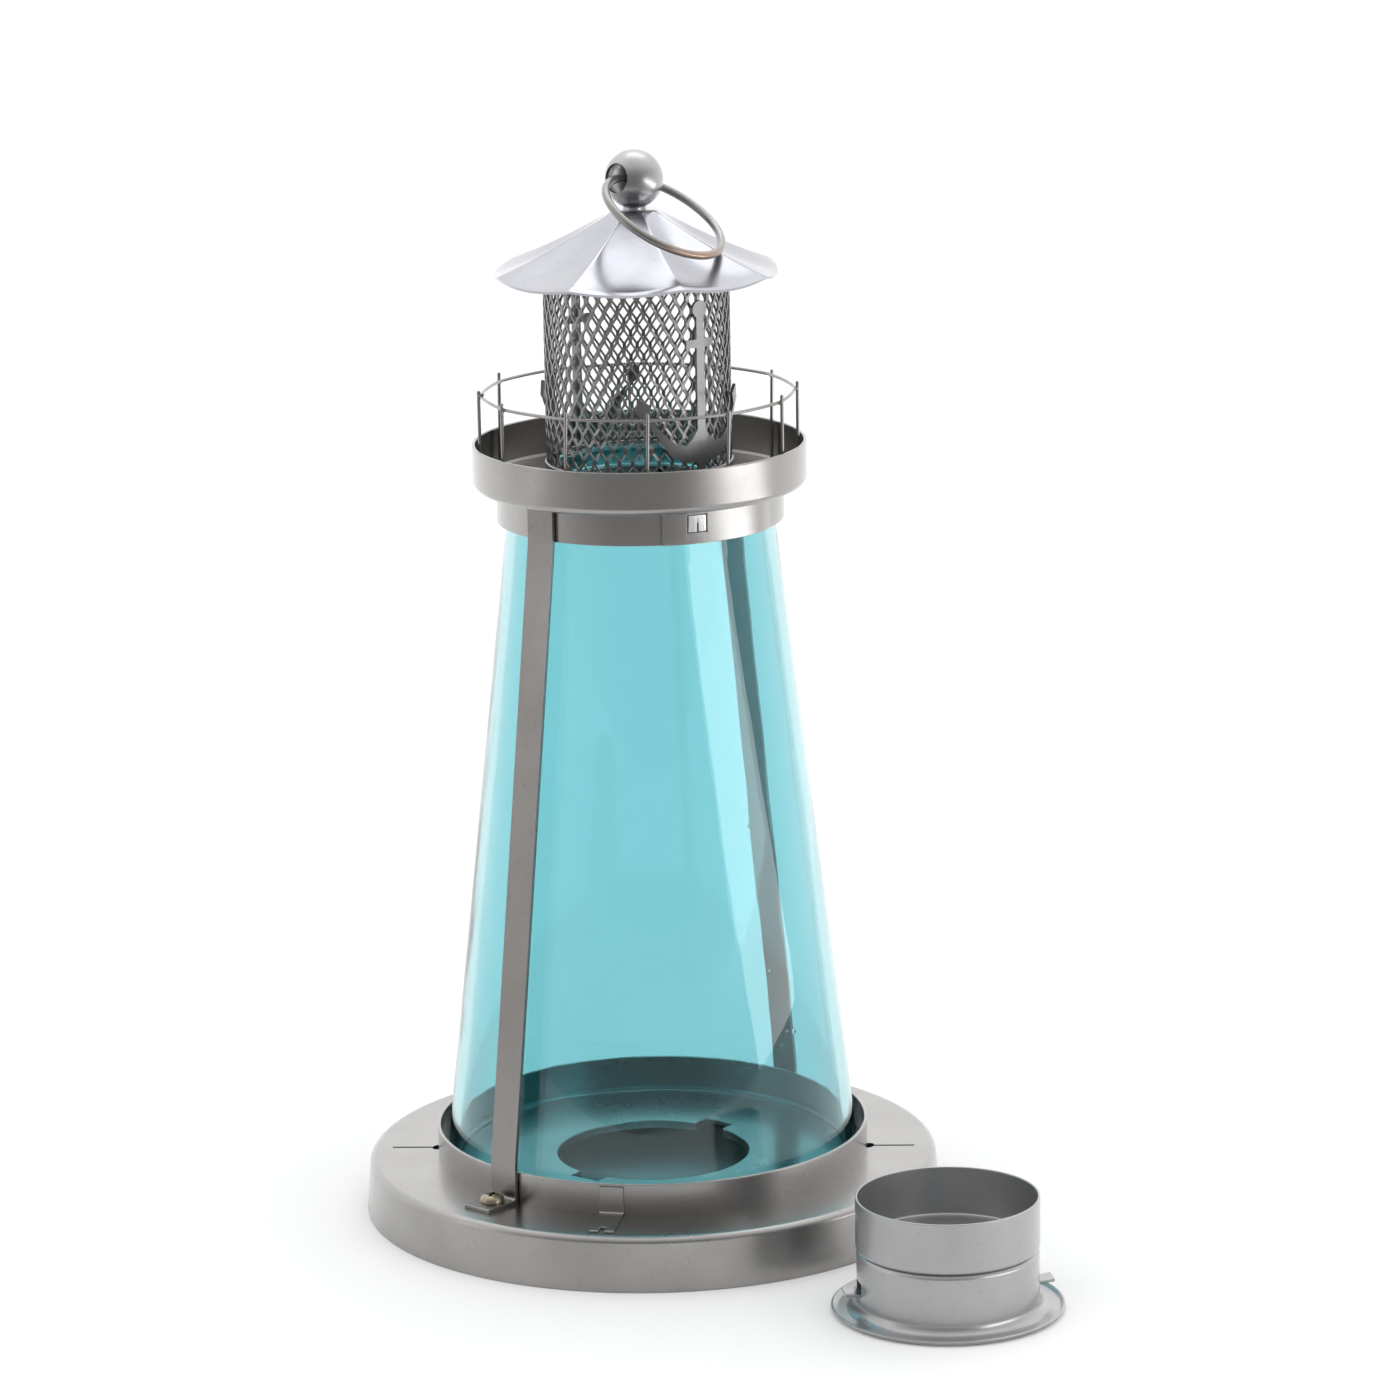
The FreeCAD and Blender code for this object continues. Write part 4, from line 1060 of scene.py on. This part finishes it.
def ball():
    """Hollow ball with a cross hole for the ring: a lens of wall turned about the hole's axis."""
    bm = bmesh.new()
    outer, inner, bore = 7.1, 6.3, 3.6
    points = []
    start = math.asin(bore / outer)
    for index in range(41):
        angle = start + (math.pi - 2 * start) * index / 40.0
        points.append((outer * math.sin(angle), outer * math.cos(angle)))
    start = math.asin(bore / inner)
    for index in range(33):
        angle = math.pi - start - (math.pi - 2 * start) * index / 32.0
        points.append((inner * math.sin(angle), inner * math.cos(angle)))
    verts = [bm.verts.new((r * MM, 0, z * MM)) for r, z in points]
    edges = [bm.edges.new((a, b)) for a, b in zip(verts, verts[1:] + verts[:1])]
    bmesh.ops.spin(
        bm,
        geom=verts + edges,
        cent=(0, 0, 0),
        axis=(0, 0, 1),
        angle=FULL_TURN,
        steps=96,
        use_merge=True,
    )
    bmesh.ops.remove_doubles(bm, verts=bm.verts[:], dist=1e-7)
    moved(bm, turned_to(BORE_AZIMUTH) @ Matrix.Rotation(math.radians(90.0 - BORE_TILT), 4, "Y"))
    return moved(bm, Matrix.Translation(BALL_CENTRE))


add_piece("finial_ball_spun", ball(), BALL_METAL, "lantern", ["finial_ball"], 40.0)

stem = spun([(0.0, 248.9, 0.0), (2.8, 248.9, 0.0), (2.8, 250.35, 0.15), (0.0, 250.35, 0.0)], steps=48)
add_piece("finial_stem_turned", stem, BALL_METAL, "lantern", ["finial_stem"])


def hanging_ring():
    """Round wire ring that hangs from the ball's hole and rests its far side on the roof."""
    bm = bmesh.new()
    bmesh.ops.create_circle(
        bm,
        cap_ends=False,
        radius=1.0 * MM,
        segments=20,
        matrix=Matrix.Translation((RING_CIRCLE * MM, 0, 0)) @ Matrix.Rotation(math.pi / 2.0, 4, "X"),
    )
    bmesh.ops.spin(
        bm,
        geom=bm.verts[:] + bm.edges[:],
        cent=(0, 0, 0),
        axis=(0, 0, 1),
        angle=FULL_TURN,
        steps=144,
        use_merge=True,
    )
    bmesh.ops.remove_doubles(bm, verts=bm.verts[:], dist=1e-7)
    # It leans on the bore's axis and falls to the front right.
    bore = (turned_to(BORE_AZIMUTH) @ Matrix.Rotation(math.radians(-BORE_TILT), 4, "Y")) @ Vector((1, 0, 0))
    fall = (turned_to(RING_AZIMUTH) @ Matrix.Rotation(math.radians(RING_DROOP), 4, "Y")) @ Vector((1, 0, 0))
    flat = bore.cross(fall).normalized()
    fall = flat.cross(bore)
    swing = math.radians(RING_SWING)
    middle = fall * math.cos(swing) - bore * math.sin(swing)
    moved(bm, Vector((0, 0, 1)).rotation_difference(flat).to_matrix().to_4x4())
    return moved(bm, Matrix.Translation(BALL_CENTRE + middle * RING_CIRCLE * MM))


add_piece("hanging_ring_bent", hanging_ring(), RING_METAL, "ring", ["hanging_ring"], 60.0)

# ---------------------------------------------------------------------------------------------
# Candle cup
# ---------------------------------------------------------------------------------------------

can = spun(
    [
        (0.0, 15.4, 0.0),
        (21.8, 15.4, 0.9),
        (21.8, 27.9, 0.25),
        (21.2, 27.9, 0.25),
        (21.2, 16.0, 0.6),
        (0.0, 16.0, 0.0),
    ],
    steps=160,
)
moved(can, Matrix.Translation(CUP_AXIS))
add_piece("cup_can_spun", can, CUP_METAL, "candle_cup", ["cup_can"])

sleeve = spun(
    [
        (19.2, 14.8, 0.1),
        (21.0, 14.8, 0.9),
        (21.0, 1.9, 1.2),
        (22.3, 0.0, 1.2),
        (26.6, 0.0, 0.6),
        (27.7, 1.3, 0.15),
        (27.25, 1.5, 0.15),
        (26.3, 0.6, 0.4),
        (23.2, 0.6, 1.2),
        (21.6, 2.0, 1.2),
        (21.6, 15.4, 1.4),
        (19.2, 15.4, 0.1),
    ],
    steps=200,
    segments=6,
)
windows = [slab((20.0, -2.5, 5.7), (25.0, 2.5, 8.3), turned_to(LUG_AZIMUTH + half)) for half in (0.0, 180.0)]
sleeve = cut_out(sleeve, windows)
moved(sleeve, Matrix.Translation(CUP_AXIS))
add_piece("cup_sleeve_spun", sleeve, CUP_METAL, "candle_cup", ["cup_sleeve"], recalc=False)

for side, name in ((0.0, "right"), (180.0, "left")):
    lug = slab((21.3, -2.5, 4.9), (25.3, 2.5, 5.7))
    bevel_sharp(lug, 0.25, 40.0, 3)
    for vert in lug.verts:
        # The lug was lanced out and tips up a little at its end.
        vert.co.z += 0.16 * max(0.0, vert.co.x - 22.0 * MM)
    moved(lug, Matrix.Translation(CUP_AXIS) @ turned_to(LUG_AZIMUTH + side))
    add_piece(f"cup_lug_{name}_tongue", lug, CUP_METAL, "candle_cup", [f"cup_lug_{name}"])

# ---------------------------------------------------------------------------------------------
# Floor, lights and camera
# ---------------------------------------------------------------------------------------------

floor_mesh = bpy.data.meshes.new("tabletop")
floor_bm = bmesh.new()
bmesh.ops.create_grid(
    floor_bm, x_segments=1, y_segments=1, size=6.0, matrix=Matrix.Translation((0, 0, -0.0005))
)
floor_bm.to_mesh(floor_mesh)
floor_bm.free()
floor = bpy.data.objects.new("tabletop", floor_mesh)
bpy.context.scene.collection.objects.link(floor)
floor_material, floor_tree, floor_shader, floor_place = blank_material("pale_tabletop")
floor_grain = noise_in(floor_tree, 400.0, 3.0)
floor_tree.links.new(floor_place, floor_grain.inputs["Vector"])
floor_tone = mix_colour(floor_tree, floor_grain.outputs["Fac"], (0.90, 0.90, 0.90), (0.92, 0.92, 0.92))
floor_tree.links.new(floor_tone, floor_shader.inputs["Base Color"])
floor_shader.inputs["Roughness"].default_value = 0.9
floor_mesh.materials.append(floor_material)

# Metal near the table mirrors a white sheet; farther out it mirrors the room.
floor.visible_glossy = False
sheet_mesh = bpy.data.meshes.new("white_sheet")
sheet_bm = bmesh.new()
bmesh.ops.create_circle(
    sheet_bm, cap_ends=True, radius=0.45, segments=64, matrix=Matrix.Translation((0, 0, -0.00002))
)
sheet_bm.to_mesh(sheet_mesh)
sheet_bm.free()
sheet = bpy.data.objects.new("white_sheet", sheet_mesh)
bpy.context.scene.collection.objects.link(sheet)
sheet_mesh.materials.append(floor_material)


def studio_world():
    """Even white light; mirror-like metal sees a room that is dark in front and bright behind."""
    world = bpy.data.worlds.new("studio")
    bpy.context.scene.world = world
    world.use_nodes = True
    tree = world.node_tree
    background = tree.nodes["Background"]
    place = tree.nodes.new("ShaderNodeTexCoord")
    split = tree.nodes.new("ShaderNodeSeparateXYZ")
    tree.links.new(place.outputs["Generated"], split.inputs[0])
    room = range_in(tree, split.outputs["Y"], -0.9, 0.35, 0.30, 1.25)
    ceiling = range_in(tree, split.outputs["Z"], 0.45, 0.85, 0.0, 0.35)
    seen = math_in(tree, "ADD", room.outputs["Result"], ceiling.outputs["Result"])
    path = tree.nodes.new("ShaderNodeLightPath")
    strength = range_in(tree, path.outputs["Is Glossy Ray"], 0.0, 1.0, 1.15, 1.0)
    tree.links.new(seen.outputs[0], strength.inputs["To Max"])
    tree.links.new(strength.outputs["Result"], background.inputs["Strength"])
    background.inputs["Color"].default_value = (1.0, 1.0, 1.0, 1.0)


studio_world()


def softbox(name, azimuth, distance, height, aim, width, tall, power, colour=(1.0, 1.0, 1.0), lean=0.0):
    """A rectangular soft light aimed at a point."""
    light = bpy.data.lights.new(name, "AREA")
    light.shape = "RECTANGLE"
    light.size = width
    light.size_y = tall
    light.energy = power
    light.color = colour
    lamp = bpy.data.objects.new(name, light)
    bpy.context.scene.collection.objects.link(lamp)
    spot = Vector(
        (distance * math.sin(math.radians(azimuth)), -distance * math.cos(math.radians(azimuth)), height)
    )
    lamp.location = spot
    facing = (Vector(aim) - spot).to_track_quat("-Z", "Y").to_matrix()
    lamp.rotation_euler = (facing @ Matrix.Rotation(math.radians(lean), 3, "Z")).to_euler()
    return lamp


softbox("right_softbox", 68.0, 0.95, 0.05, (0, 0, 0.05), 1.1, 0.24, 3.0, lean=-25.0)
softbox("left_softbox", -75.0, 0.95, 0.3, (0, 0, 0.12), 0.3, 0.6, 0.35, (1.0, 0.97, 0.94))
softbox("overhead_softbox", 170.0, 0.45, 1.1, (0, 0, 0.2), 0.7, 0.5, 1.1)

camera_data = bpy.data.cameras.new("camera")
camera = bpy.data.objects.new("camera", camera_data)
bpy.context.scene.collection.objects.link(camera)
bpy.context.scene.camera = camera
camera_data.sensor_width = 36.0
# Slopes that turn the aim to the right of straight ahead, and below it.
AIM_RIGHT = 0.009624
AIM_DOWN = 0.0012224
camera_data.lens = 149.3589
ELEVATION = math.radians(13.572)
ROLL = math.radians(-1.14)
ahead = Vector((0.0, math.cos(ELEVATION), -math.sin(ELEVATION)))
right = Vector((1.0, 0.0, 0.0))
above = right.cross(ahead)
right_rolled = right * math.cos(ROLL) + above * math.sin(ROLL)
above_rolled = above * math.cos(ROLL) - right * math.sin(ROLL)
aim = (ahead + right_rolled * AIM_RIGHT - above_rolled * AIM_DOWN).normalized()
# Square the camera's axes to the new aim.
right_axis = (right_rolled - aim * right_rolled.dot(aim)).normalized()
above_axis = right_axis.cross(aim).normalized()
camera.matrix_world = Matrix(
    (
        (right_axis.x, above_axis.x, -aim.x, 0.0),
        (right_axis.y, above_axis.y, -aim.y, -1.3836),
        (right_axis.z, above_axis.z, -aim.z, 0.4640),
        (0.0, 0.0, 0.0, 1.0),
    )
)
camera_data.clip_start = 0.05
camera_data.clip_end = 30.0
bpy.context.scene.view_settings.view_transform = "Standard"
